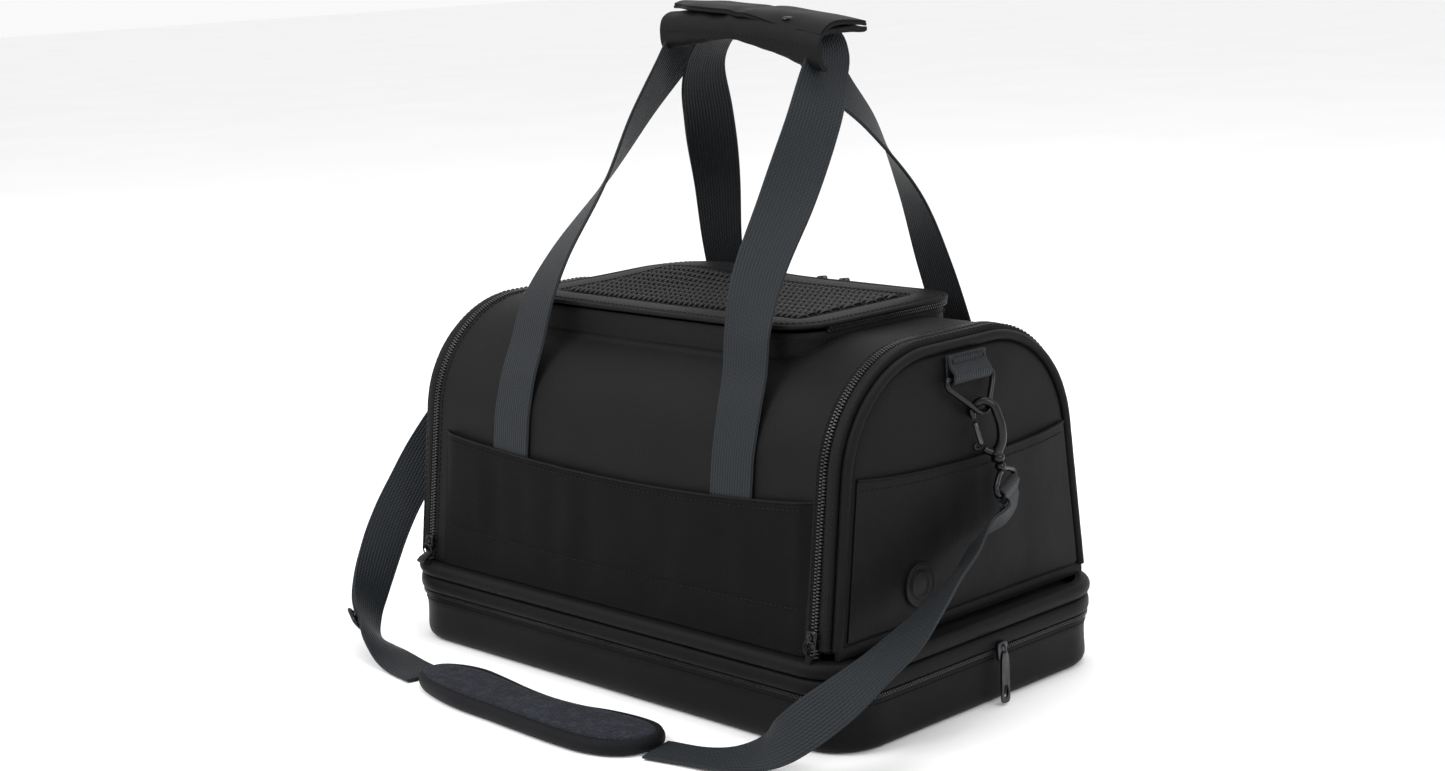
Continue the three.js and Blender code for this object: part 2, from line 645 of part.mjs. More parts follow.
const STRAP_LEFT = [
  [-235.8, -59.5, 170.2, -0.5, -0.48, 0.72], [-237.5, -74, 158, -0.6, -0.49, 0.63],
  [-239.5, -100, 131, -0.64, -0.49, 0.59], [-243, -114, 110, -0.64, -0.49, 0.59],
  [-245, -127, 91, -0.62, -0.5, 0.6], [-246, -138, 72, -0.55, -0.56, 0.6], [-243, -149, 55, -0.42, -0.65, 0.6],
  [-237, -160, 41, -0.25, -0.72, 0.62], [-227, -172, 29, -0.05, -0.7, 0.7], [-211, -183, 19.5, 0.06, -0.65, 0.76],
  [-193, -188, 11.5, 0.05, -0.9, 0.43], [-175, -190, 5, 0, -1, 0.1], [-155, -193, 2, -0.1, -1, 0],
  [-125.5, -197, 1.6, -0.1, -1, 0],
];

function shoulderPad() {
  const half = 119;
  const top = new THREE.CatmullRomCurve3([
    [-half, 0], [-half + 10, 22], [-78, 27], [-40, 22], [0, 18],
    [40, 22], [78, 27], [half - 10, 22], [half, 0],
  ].map(([x, y]) => v3(x, y, 0)));
  const upper = top.getPoints(20);
  const lower = new THREE.CatmullRomCurve3([
    [half, 0], [half - 8, -20], [half - 34, -31], [0, -31], [-half + 34, -31], [-half + 8, -20], [-half, 0],
  ].map(([x, y]) => v3(x, y, 0))).getPoints(16);
  const outline = upper.concat(lower.slice(1, -1));
  const layer = (inset, z) =>
    outline.map((p) => v3(p.x - Math.sign(p.x) * inset, p.y * (1 - inset / 30), z));
  return skin([layer(3, 0.5), layer(0, 2.5), layer(0, 7.5), layer(5, 11.5)]);
}

function strapAdjuster() {
  const outer = new THREE.Shape();
  outer.moveTo(-19.5, -10);
  outer.lineTo(19.5, -10);
  outer.lineTo(19.5, 10);
  outer.lineTo(-19.5, 10);
  [-1, 1].forEach((row) => {
    const slot = new THREE.Path();
    slot.moveTo(-16.5, row * 4.6 - 2.6);
    slot.lineTo(16.5, row * 4.6 - 2.6);
    slot.lineTo(16.5, row * 4.6 + 2.6);
    slot.lineTo(-16.5, row * 4.6 + 2.6);
    outer.holes.push(slot);
  });
  return new THREE.ExtrudeGeometry(outer, { depth: 3, bevelEnabled: false });
}

// ---------------------------------------------------------------- assembly
part.add(baseTray(), baseZipSlider(), cabin(), roofRim(), roofLid());
add(part, 'front_pocket', frontPocket(), FABRIC);
[[-1, 'front'], [1, 'back']].forEach(([side, label]) => {
  add(part, `${label}_handle_foot_left`, handleFoot(side, HANDLE_SHIFT - LEG_X), WEBBING);
  add(part, `${label}_handle_foot_right`, handleFoot(side, HANDLE_SHIFT + LEG_X), WEBBING);
});
[[-1, 'left'], [1, 'right']].forEach(([side, label]) => {
  part.add(door(side, label), doorZipSlider(side, label));
  add(part, `${label}_ring_tab`, ringTab(side), WEBBING);
});
part.add(badge());
part.add(chain('right', 1, v3(222, 9, 201), v3(9.9, 10.5, -53), v3(0.7, 0.714, 0), v3(0.32, -0.94, 0)));
part.add(chain('left', -1, v3(-227, -13, 207), v3(-8, -43, -34), v3(-1, 0, 0.15), v3(-0.5, -0.48, 0.72)));
part.add(roofZipSlider('a', 10), roofZipSlider('b', 32));

const FRONT_LEG = [
  [112, -120.5, 191, 0], [111.5, -112, 208, 0.02], [109.5, -103, 232, 0.04], [106, -95.5, 258, 0.07],
  [100, -77, 292, 0.24], [92, -38, 339, 0.5], [86, -4, 386, 0.75], [82, 18, 418, 0.92], [77, 32, 440, 1],
  [67, 36, 450, 1],
];
const BACK_LEG = [
  [113, 119.5, 191, 0], [112.5, 113, 208, 0.02], [111, 105, 236, 0.05], [106, 92.5, 280, 0.1],
  [96, 80, 330, 0.28], [80, 59, 380, 0.68], [67, 43, 410, 0.92], [56, 38, 427, 1],
];
add(part, 'front_handle_webbing', handleWebbing(-1, FRONT_LEG, GRIP_Z + 11), WEBBING);
add(part, 'back_handle_webbing', handleWebbing(1, BACK_LEG, GRIP_Z - 6), WEBBING);
const grip = gripWrap();
add(part, 'grip_wrap', grip.wrap, FABRIC);
add(part, 'grip_flap', grip.flap, FABRIC);

add(part, 'strap_right', ribbon(STRAP_RIGHT, STRAP_W, STRAP_T, 60), WEBBING);
add(part, 'strap_left', ribbon(STRAP_LEFT, STRAP_W, STRAP_T, 56), WEBBING);
const pad = add(part, 'shoulder_pad', shoulderPad(), PADDING);
pad.position.set(-6, -200, 0);
const adjuster = add(part, 'strap_adjuster', strapAdjuster(), METAL);
const adjusterAcross = v3(-0.05, 0.66, -0.75).normalize();
const adjusterAlong = v3(0.87, -0.33, -0.37);
adjusterAlong.addScaledVector(adjusterAcross, -adjusterAlong.dot(adjusterAcross)).normalize();
const adjusterFace = adjusterAcross.clone().cross(adjusterAlong);
adjuster.applyMatrix4(new THREE.Matrix4().makeBasis(adjusterAcross, adjusterAlong, adjusterFace));
adjuster.position.set(-211, -183, 19.5).addScaledVector(adjusterFace, STRAP_T / 2 + 1.4);

export default part;
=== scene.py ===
"""Soft-sided pet carrier bag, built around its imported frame.

Lengths are metres, +Z is up, +X runs along the bag towards the badge end and the front faces -Y.
Each operator makes one piece or a group of like pieces, and each piece rides on a body of the frame.
"""
import math

import bmesh
import bpy
import numpy as np
from mathutils import Matrix, Vector, noise


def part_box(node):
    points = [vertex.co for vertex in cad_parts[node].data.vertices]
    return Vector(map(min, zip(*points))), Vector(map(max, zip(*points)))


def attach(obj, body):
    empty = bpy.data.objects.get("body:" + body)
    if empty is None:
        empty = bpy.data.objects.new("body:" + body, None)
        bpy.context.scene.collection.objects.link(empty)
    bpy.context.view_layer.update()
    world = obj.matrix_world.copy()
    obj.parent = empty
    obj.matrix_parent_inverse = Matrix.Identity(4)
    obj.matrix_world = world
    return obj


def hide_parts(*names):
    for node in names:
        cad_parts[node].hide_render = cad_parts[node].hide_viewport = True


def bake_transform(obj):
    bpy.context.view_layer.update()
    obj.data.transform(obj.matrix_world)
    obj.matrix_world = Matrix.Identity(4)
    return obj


bl_info = {
    "name": "Pet Carrier Bag", "version": (1, 0, 0), "blender": (4, 5, 0),
    "location": "3D Viewport > Sidebar > Carrier Bag",
    "description": (
        "Builds a soft pet carrier with zip-off base, end doors, roof lid, handles and shoulder strap"
    ),
    "category": "Object",
}

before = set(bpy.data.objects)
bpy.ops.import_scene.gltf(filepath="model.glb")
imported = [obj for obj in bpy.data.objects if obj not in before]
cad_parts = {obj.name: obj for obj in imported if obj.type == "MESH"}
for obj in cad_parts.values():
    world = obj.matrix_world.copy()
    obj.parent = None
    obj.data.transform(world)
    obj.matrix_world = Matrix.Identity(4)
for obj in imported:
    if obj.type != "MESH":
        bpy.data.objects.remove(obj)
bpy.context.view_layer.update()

MM = 0.001
TAU = 2 * math.pi
FOLD_LENGTH = 26 * MM

# ---------------------------------------------------------------- places taken from the frame
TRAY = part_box("tray_shell")
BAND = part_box("base_flange")
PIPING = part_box("flange_piping")
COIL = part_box("base_zip_coil")
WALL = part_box("front_panel")
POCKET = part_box("front_pocket")
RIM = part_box("roof_collar")
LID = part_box("lid_frame")
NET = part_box("lid_mesh")
LID_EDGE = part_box("lid_piping")
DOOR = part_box("right_door_panel")
DOOR_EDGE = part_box("right_door_piping")
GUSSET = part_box("right_door_gusset")
DOOR_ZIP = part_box("right_zip_coil")
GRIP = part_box("grip_wrap")
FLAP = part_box("grip_flap")
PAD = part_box("shoulder_pad")

# ---------------------------------------------------------------- the cabin's cross-section
FOOT_Z = 66 * MM
HALF_FOOT = 132 * MM
HALF_ROOF = 108 * MM
SHOULDER_R = 86 * MM
ROOF_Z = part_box("right_zip_coil")[1].z
WALL_FOOT = WALL[0].z
LEAN = (HALF_FOOT - HALF_ROOF) / (ROOF_Z - FOOT_Z)
SLOPE = math.hypot(1, LEAN)
PLAN_R = 38 * MM
LID_R = 28 * MM
LID_BORDER = 26 * MM
GRIP_Y = 36 * MM
HANDLE_SHIFT = 6 * MM


def wall_y(z):
    """Half width of the cabin's straight wall at a height."""
    return HALF_FOOT - LEAN * (z - FOOT_Z)


# Shoulder strap: x, y, z and the direction of the webbing's width.
STRAP_RIGHT = [
    (0.2327, 0.0204, 0.1439, 0.34, -0.92, -0.12),
    (0.2334, 0.021, 0.139, 0.36, -0.92, -0.1),
    (0.2344, 0.015, 0.1315, 0.5, -0.75, 0.35),
    (0.234, -0.008, 0.124, 0.72, -0.25, 0.64),
    (0.238, -0.03, 0.1095, 0.77, -0.13, 0.62),
    (0.242, -0.056, 0.099, 0.84, -0.07, 0.53),
    (0.246, -0.08, 0.0885, 0.94, -0.05, 0.34),
    (0.248, -0.109, 0.075, 1, 0.02, 0.01),
    (0.247, -0.133, 0.0655, 0.98, -0.08, -0.17),
    (0.24, -0.155, 0.052, 0.87, -0.07, -0.49),
    (0.229, -0.171, 0.0395, 0.73, -0.11, -0.67),
    (0.213, -0.179, 0.026, 0.59, -0.34, -0.73),
    (0.192, -0.182, 0.0135, 0.34, -0.82, -0.45),
    (0.167, -0.185, 0.0055, 0.2, -0.98, -0.15),
    (0.142, -0.189, 0.002, 0.07, -1, 0),
    (0.1135, -0.196, 0.0016, 0.05, -1, 0),
]
STRAP_LEFT = [
    (-0.2358, -0.0595, 0.1702, -0.5, -0.48, 0.72),
    (-0.2375, -0.074, 0.158, -0.6, -0.49, 0.63),
    (-0.2395, -0.1, 0.131, -0.64, -0.49, 0.59),
    (-0.243, -0.114, 0.11, -0.64, -0.49, 0.59),
    (-0.245, -0.127, 0.091, -0.62, -0.5, 0.6),
    (-0.246, -0.138, 0.072, -0.55, -0.56, 0.6),
    (-0.243, -0.149, 0.055, -0.42, -0.65, 0.6),
    (-0.237, -0.16, 0.041, -0.25, -0.72, 0.62),
    (-0.227, -0.172, 0.029, -0.05, -0.7, 0.7),
    (-0.211, -0.183, 0.0195, 0.06, -0.65, 0.76),
    (-0.193, -0.188, 0.0115, 0.05, -0.9, 0.43),
    (-0.175, -0.19, 0.005, 0, -1, 0.1),
    (-0.155, -0.193, 0.002, -0.1, -1, 0),
    (-0.1255, -0.197, 0.0016, -0.1, -1, 0),
]

# Handle legs: distance out from the middle, y, z and the share of a quarter turn.
FRONT_LEG = [
    (0.112, -0.1205, 0.191, 0),
    (0.1115, -0.112, 0.208, 0.02),
    (0.1095, -0.103, 0.232, 0.04),
    (0.106, -0.0955, 0.258, 0.07),
    (0.1, -0.077, 0.292, 0.24),
    (0.092, -0.038, 0.339, 0.5),
    (0.086, -0.004, 0.386, 0.75),
    (0.082, 0.018, 0.418, 0.92),
    (0.077, 0.032, 0.44, 1),
    (0.067, 0.036, 0.45, 1),
]
BACK_LEG = [
    (0.113, 0.1195, 0.191, 0),
    (0.1125, 0.113, 0.208, 0.02),
    (0.111, 0.105, 0.236, 0.05),
    (0.106, 0.0925, 0.28, 0.1),
    (0.096, 0.08, 0.33, 0.28),
    (0.08, 0.059, 0.38, 0.68),
    (0.067, 0.043, 0.41, 0.92),
    (0.056, 0.038, 0.427, 1),
]


# ---------------------------------------------------------------- settings a user would change
def length_prop(name, description, default):
    """Length in metres."""
    return bpy.props.FloatProperty(
        name=name, description=description, default=default, unit="LENGTH", precision=4
    )


def colour_prop(name, description, default):
    """Linear RGB colour."""
    return bpy.props.FloatVectorProperty(
        name=name, description=description, default=default, subtype="COLOR", size=3, min=0, max=1
    )


class CarrierSizes(bpy.types.PropertyGroup):
    """Sizes of the soft goods and trims."""

    handle_width: length_prop("Handle webbing", "Width of the carrying handles' webbing", 38 * MM)
    handle_thick: length_prop("Handle thickness", "Thickness of the carrying handles' webbing", 2.2 * MM)
    strap_width: length_prop("Strap webbing", "Width of the shoulder strap's webbing", 32 * MM)
    strap_thick: length_prop("Strap thickness", "Thickness of the shoulder strap's webbing", 1.8 * MM)
    foam: length_prop("Wall foam", "Thickness of the padded walls", 4 * MM)
    crown: length_prop("Door crown", "How far the padded doors swell in the middle", 2.4 * MM)
    pocket_slack: length_prop(
        "Pocket slack", "How far the front pocket's top edge hangs off the wall", 3.6 * MM
    )
    wrinkle: length_prop("Wrinkles", "Depth of the soft wrinkles in the walls", 1.0 * MM)
    tooth_pitch: length_prop("Zip pitch", "Distance from one zip tooth to the next", 2.2 * MM)
    wire: length_prop("Ring wire", "Radius of the ring and swivel eye wire", 1.9 * MM)


class CarrierColours(bpy.types.PropertyGroup):
    """Colours of the cloth, webbing and hardware."""

    nylon: colour_prop(
        "Body cloth", "Plain-weave nylon of the walls, doors and pockets", (0.0046, 0.0042, 0.0045)
    )
    base: colour_prop("Base cloth", "Coated nylon of the base band and tray", (0.0034, 0.0034, 0.0036))
    webbing: colour_prop("Webbing", "Ribbed webbing of handles and strap", (0.0080, 0.0101, 0.0124))
    zip_coil: colour_prop("Zip coil", "Moulded zip teeth", (0.012, 0.012, 0.013))
    felt: colour_prop("Pad felt", "Speckled felt on the shoulder pad", (0.0065, 0.0075, 0.0120))
    binding: colour_prop("Pad binding", "Smooth binding round the shoulder pad", (0.0048, 0.0050, 0.0064))
    net: colour_prop("Air mesh", "Ribbed mesh in the roof lid", (0.0045, 0.0045, 0.005))
    enamel: colour_prop(
        "Hook enamel", "Glossy black of the hooks, rings and slides", (0.003, 0.003, 0.0035)
    )
    steel: colour_prop("Plated metal", "Grey metal of the zip pulls and hook gates", (0.06, 0.06, 0.065))
    board: colour_prop("Stiffener board", "Board in the tray and under the cabin", (0.02, 0.02, 0.021))
    fleece: colour_prop("Fleece", "Top of the lying mat", (0.22, 0.215, 0.21))
    rubber: colour_prop("Badge rubber", "Moulded rubber of the round badge", (0.0036, 0.0036, 0.0038))


def sizes():
    """The current sizes."""
    return bpy.context.scene.carrier_sizes


def colours():
    """The current colours."""
    return bpy.context.scene.carrier_colours


# ---------------------------------------------------------------- lines
def unit(v):
    """Vectors of length one, row by row."""
    v = np.asarray(v, float)
    size = np.linalg.norm(v, axis=-1, keepdims=True)
    return v / np.maximum(size, 1e-12)


def run_length(points):
    """Distance along a line at each of its points."""
    steps = np.linalg.norm(np.diff(points[:, :3], axis=0), axis=1)
    return np.concatenate([[0.0], np.cumsum(steps)])


def resample(points, count):
    """The same line in evenly spaced points. Columns past the third go along with the place."""
    points = np.asarray(points, float)
    width = min(points.shape[1], 3)
    along = run_length(points[:, :width])
    wanted = np.linspace(0, along[-1], count)
    return np.column_stack([np.interp(wanted, along, points[:, k]) for k in range(points.shape[1])])


def smooth_line(points, count, fine=12):
    """Centripetal curve through the points, evenly spaced."""
    p = np.array(points, float)
    p = np.vstack([2 * p[0] - p[1], p, 2 * p[-1] - p[-2]])
    rows = []
    for i in range(1, len(p) - 2):
        p0, p1, p2, p3 = p[i - 1:i + 3]
        t01, t12, t23 = [
            max(np.linalg.norm((b - a)[:3]), 1e-9) ** 0.5 for a, b in ((p0, p1), (p1, p2), (p2, p3))
        ]
        m1 = (p2 - p1) + t12 * ((p1 - p0) / t01 - (p2 - p0) / (t01 + t12))
        m2 = (p2 - p1) + t12 * ((p3 - p2) / t23 - (p3 - p1) / (t12 + t23))
        for s in np.linspace(0, 1, fine, endpoint=False):
            a, b = 2 * s ** 3 - 3 * s ** 2 + 1, s ** 3 - 2 * s ** 2 + s
            c, d = -2 * s ** 3 + 3 * s ** 2, s ** 3 - s ** 2
            rows.append(a * p1 + b * m1 + c * p2 + d * m2)
    rows.append(p[-2])
    return resample(np.array(rows), count)


def tangents(points, closed=False):
    """Direction of a line at each point."""
    if closed:
        return unit(np.roll(points, -1, 0) - np.roll(points, 1, 0))
    return unit(np.gradient(points, axis=0))


def arch(inset, foot, count):
    """Cabin cross-section as (y, z) points from the front foot over the roof to the back foot."""
    centre_z = ROOF_Z - SHOULDER_R
    centre_y = wall_y(centre_z) - SHOULDER_R * SLOPE
    radius = SHOULDER_R - inset
    start = math.atan(LEAN)
    half = [(wall_y(foot) - inset * SLOPE, foot)]
    for i in range(33):
        angle = start + (math.pi / 2 - start) * i / 32
        half.append((centre_y + radius * math.cos(angle), centre_z + radius * math.sin(angle)))
    line = [(-y, z) for y, z in half] + half[::-1]
    return resample(np.array(line), count)


def round_rect(half_x, half_y, radius, count):
    """Rounded rectangle as evenly spaced (x, y) points, anticlockwise from the right end."""
    points = [(half_x, 0)]
    for quarter, (sx, sy) in enumerate([(1, 1), (-1, 1), (-1, -1), (1, -1)]):
        for i in range(13):
            angle = (quarter + i / 12) * math.pi / 2
            points.append(
                (
                    sx * (half_x - radius) + radius * math.cos(angle),
                    sy * (half_y - radius) + radius * math.sin(angle)
                )
            )
    points.append((half_x, 0))
    return resample(np.array(points), count + 1)[:-1]


def ripple(x, y, z, size, seed=0.0):
    """Smooth value from -1 to 1 that changes over a distance of about size."""
    return noise.noise(Vector((x / size + seed, y / size - seed, z / size + 2 * seed)))


def ease(t):
    """Smooth step from 0 to 1."""
    t = min(max(t, 0.0), 1.0)
    return t * t * (3 - 2 * t)


# ---------------------------------------------------------------- meshes
def make_mesh(name, verts, faces, finish, uvs=None, sharp=50):
    """Smooth-shaded mesh object. uvs holds one (u, v) in metres per face corner."""
    data = bpy.data.meshes.new(name)
    data.from_pydata([tuple(map(float, v)) for v in verts], [], faces)
    if uvs is not None:
        layer = data.uv_layers.new(name="UVMap")
        layer.data.foreach_set("uv", np.asarray(uvs, np.float32).ravel())
    data.materials.append(finish)
    data.validate()
    data.shade_smooth()
    data.set_sharp_from_angle(angle=math.radians(sharp))
    data.update()
    obj = bpy.data.objects.new(name, data)
    bpy.context.scene.collection.objects.link(obj)
    return obj


def loft(name, grid, finish, close_rows=False, close_cols=True, caps=True, sharp=50):
    """Surface through rows of points. Closed columns make a tube, and caps shut its two ends."""
    verts, faces, uvs = loft_parts(grid, close_rows, close_cols, caps)
    return make_mesh(name, verts, faces, finish, uvs, sharp)


def loft_parts(grid, close_rows=False, close_cols=True, caps=True):
    """Points, faces and uvs of a loft."""
    grid = np.asarray(grid, float)
    rows, cols = grid.shape[:2]
    wrap_cols = np.concatenate([grid, grid[:, :1]], axis=1)
    wrap_rows = np.concatenate([grid, grid[:1]], axis=0)
    step_u = np.linalg.norm(np.diff(wrap_cols, axis=1), axis=2).mean(axis=0)
    step_v = np.linalg.norm(np.diff(wrap_rows, axis=0), axis=2).mean(axis=1)
    u = np.concatenate([[0.0], np.cumsum(step_u)])
    v = np.concatenate([[0.0], np.cumsum(step_v)])
    faces, uvs = [], []
    for i in range(rows if close_rows else rows - 1):
        n = (i + 1) % rows
        for j in range(cols if close_cols else cols - 1):
            k = (j + 1) % cols
            faces.append((i * cols + j, i * cols + k, n * cols + k, n * cols + j))
            uvs += [(u[j], v[i]), (u[j + 1], v[i]), (u[j + 1], v[i + 1]), (u[j], v[i + 1])]
    if caps and close_cols and not close_rows:
        faces.append(tuple(range(cols))[::-1])
        faces.append(tuple((rows - 1) * cols + j for j in range(cols)))
        uvs += [(u[j], 0.0) for j in range(cols)][::-1]
        uvs += [(u[j], v[rows - 1]) for j in range(cols)]
    flat = grid.reshape(-1, 3)
    if signed_volume(flat, faces) < 0:
        turned = []
        at = 0
        for f in faces:
            turned += uvs[at:at + len(f)][::-1]
            at += len(f)
        faces, uvs = [f[::-1] for f in faces], turned
    return flat, faces, uvs


def signed_volume(verts, faces):
    """Six times the volume inside the faces, negative when they face inwards."""
    total = 0.0
    for f in faces:
        a = verts[f[0]]
        for b, c in zip(f[1:-1], f[2:]):
            total += np.dot(a, np.cross(verts[b], verts[c]))
    return total


def gather(name, parts, finish, sharp=50):
    """One mesh from several (points, faces) or (points, faces, uvs)."""
    verts, faces, uvs = [], [], []
    for part in parts:
        base = len(verts)
        verts += list(part[0])
        faces += [tuple(base + i for i in f) for f in part[1]]
        if len(part) > 2:
            uvs += list(part[2])
    return make_mesh(name, verts, faces, finish, uvs or None, sharp)


def cloth_shell(name, outer, thickness, finish, sharp=50):
    """Padded cloth with a front given by a grid and a back set in by thickness along its normals."""
    outer = np.asarray(outer, float)
    du = np.gradient(outer, axis=1)
    dv = np.gradient(outer, axis=0)
    normal = unit(np.cross(du, dv))
    inner = outer - normal * thickness
    rows, cols = outer.shape[:2]
    loops = np.concatenate([outer, inner[:, ::-1]], axis=1)
    verts, faces, uvs = loft_parts(loops, caps=False)
    n = 2 * cols
    ends = []
    for row, turn in ((0, -1), (rows - 1, 1)):
        for j in range(cols - 1):
            quad = (row * n + j, row * n + j + 1, row * n + n - 2 - j, row * n + n - 1 - j)
            ends.append(quad[::turn])
    faces += ends
    uvs += [(0.0, 0.0)] * (4 * len(ends))
    obj = make_mesh(name, verts, faces, finish, uvs, sharp)
    outward_faces(obj)
    return obj


def outward_faces(obj):
    """Makes a closed mesh's faces agree and face out."""
    work = bmesh.new()
    work.from_mesh(obj.data)
    bmesh.ops.recalc_face_normals(work, faces=work.faces)
    work.to_mesh(obj.data)
    work.free()


def tube_parts(points, radius, sides=10, closed=False, up=(0, 0, 1)):
    """Round bar along a line. radius is one number or one per point."""
    points = np.asarray(points, float)
    radii = np.broadcast_to(np.asarray(radius, float), (len(points),))
    along = tangents(points, closed)
    side = np.cross(along[0], up)
    if np.linalg.norm(side) < 0.05:
        side = np.cross(along[0], (1, 0, 0))
    side = unit(side)
    rows = []
    for p, t, r in zip(points, along, radii):
        side = unit(side - t * np.dot(side, t))
        other = np.cross(t, side)
        ring = [p + r * (math.cos(a) * side + math.sin(a) * other) for a in np.arange(sides) * TAU / sides]
        rows.append(ring)
    return loft_parts(rows, close_rows=closed, caps=not closed)


def strap_section(width, thickness, columns=8):
    """Outline of flat webbing with soft edges, as (across, up) pairs."""
    half = width / 2 - 0.35 * thickness
    across = np.linspace(-half, half, columns + 1)
    top = [(a, thickness / 2) for a in across]
    bottom = [(a, -thickness / 2) for a in across[::-1]]
    return top + [(width / 2, 0)] + bottom + [(-width / 2, 0)]


def strap_grid(route, width, thickness, count):
    """Sections of flat webbing along a route of x, y, z and width direction."""
    line = smooth_line([(*r[:3], *unit(r[3:])) for r in route], count)
    place = line[:, :3]
    along = tangents(place)
    across = line[:, 3:]
    across = unit(across - along * np.sum(across * along, axis=1, keepdims=True))
    up = np.cross(along, across)
    section = strap_section(width, thickness)
    grid = np.array([[p + c * a + n * b for a, b in section] for p, c, n in zip(place, across, up)])
    return grid, place, across, up


def stitch_parts(line, normal, length=3 * MM, gap=1.3 * MM, radius=0.34 * MM):
    """Sewn thread along a line: a short raised capsule for each stitch."""
    line = np.asarray(line, float)
    total = run_length(line)[-1]
    count = max(1, int(total / (length + gap)))
    fine = resample(line, count * 4 + 1)
    parts = []
    for i in range(count):
        a, b = fine[4 * i], fine[4 * i + 3]
        along = unit(b - a)
        lift = np.asarray(normal if np.ndim(normal) == 1 else normal[min(4 * i, len(normal) - 1)], float)
        side = unit(np.cross(along, lift))
        lift = np.cross(side, along)
        rows = []
        for s, r in ((0.0, 0.35), (0.2, 1.0), (0.8, 1.0), (1.0, 0.35)):
            centre = a + (b - a) * s + lift * radius * 0.4 * r
            rows.append(
                [
                    centre + radius * r * (math.cos(t) * side + math.sin(t) * lift)
                    for t in np.arange(6) * TAU / 6
                ]
            )
        parts.append(loft_parts(rows)[:2])
    return parts


def zip_parts(line, across, up, pitch, row_width=2.1 * MM, height=1.0 * MM):
    """Two rows of interlocked coil teeth along a line."""
    line = np.asarray(line, float)
    total = run_length(line)[-1]
    count = int(total / pitch)
    packed = resample(np.column_stack([line, across, up]), 2 * count + 1)
    parts = []
    for i in range(2 * count):
        row = 1 if i % 2 else -1
        p, a, n = packed[i, :3], unit(packed[i, 3:6]), unit(packed[i, 6:9])
        t = np.cross(a, n)
        centre = p + a * row * row_width * 0.5
        rows = []
        for s, h, w in ((-0.62, 0.45, 0.26), (-0.3, 1.0, 0.36), (0.3, 1.0, 0.36), (0.62, 0.45, 0.26)):
            c = centre + a * s * row_width
            half = w * pitch
            rows.append(
                [
                    c - t * half, c - t * half * 0.6 + n * height * h, c + t * half * 0.6 + n * height * h,
                    c + t * half
                ]
            )
        parts.append(loft_parts(rows)[:2])
    return parts


def plate_parts(outline, thickness, place, bevel=0.0):
    """Flat plate from an outline of (u, v) pairs, put in place by a 4x4 matrix, with eased edges."""
    outline = np.asarray(outline, float)
    middle = outline.mean(axis=0)
    layers = [
        (-thickness / 2, bevel), (-thickness / 2 + bevel, 0), (thickness / 2 - bevel, 0),
        (thickness / 2, bevel)
    ]
    if bevel == 0:
        layers = [(-thickness / 2, 0), (thickness / 2, 0)]
    rows = []
    for w, inset in layers:
        out = outline - middle
        scale = 1 - inset / np.maximum(np.linalg.norm(out, axis=1, keepdims=True), 1e-6)
        rows.append([tuple(place @ Vector((u, v, w))) for u, v in middle + out * scale])
    return loft_parts(np.array(rows))


def ring_plate_parts(outer, inner, thickness, place, bevel=0.2 * MM):
    """Flat plate with one hole: outer and inner are loops of the same number of points."""
    outer, inner = np.asarray(outer, float), np.asarray(inner, float)
    t = thickness / 2
    rows = [
        (outer, -t + bevel), (outer, t - bevel), (outer * 0.98 + inner * 0.02, t),
        (inner * 0.98 + outer * 0.02, t)
    ]
    rows += [
        (inner, t - bevel), (inner, -t + bevel), (inner * 0.98 + outer * 0.02, -t),
        (outer * 0.98 + inner * 0.02, -t)
    ]
    grid = np.array([[tuple(place @ Vector((u, v, w))) for u, v in loop] for loop, w in rows])
    return loft_parts(grid, close_rows=True)


def place_matrix(origin, x_dir, y_dir):
    """Matrix with its first two axes along the given directions."""
    x = Vector(x_dir).normalized()
    y = Vector(y_dir)
    y = (y - x * y.dot(x)).normalized()
    z = x.cross(y)
    place = Matrix((x, y, z)).transposed().to_4x4()
    place.translation = Vector(origin)
    return place


def settle(obj, body, slot, *nodes, fill=None):
    """Puts a finished piece on its body and hides the frame nodes it stands for."""
    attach(obj, body)
    if nodes:
        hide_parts(*nodes)
    return obj


def sew(name, parts, body, slot):
    """Joins stitches into one piece of thread and puts it on its body."""
    settle(gather(name, parts, finish("thread")), body, slot)


def signed_power(value, power):
    """Power of a number's size with its sign kept, which squares off a circle."""
    return math.copysign(abs(value) ** power, value)


def slider_plate(place, wing, neck, tall, shoulder, count, bevel):
    """Zip slider's plate: wide down to its shoulders, then narrowing to its neck."""
    shape = [
        (-wing, tall), (wing, tall), (wing, shoulder), (neck, -tall), (-neck, -tall), (-wing, shoulder)
    ]
    outline = smooth_line(shape + shape[:1], count)[:-1]
    return plate_parts(outline, 2.6 * MM, place, bevel=bevel)


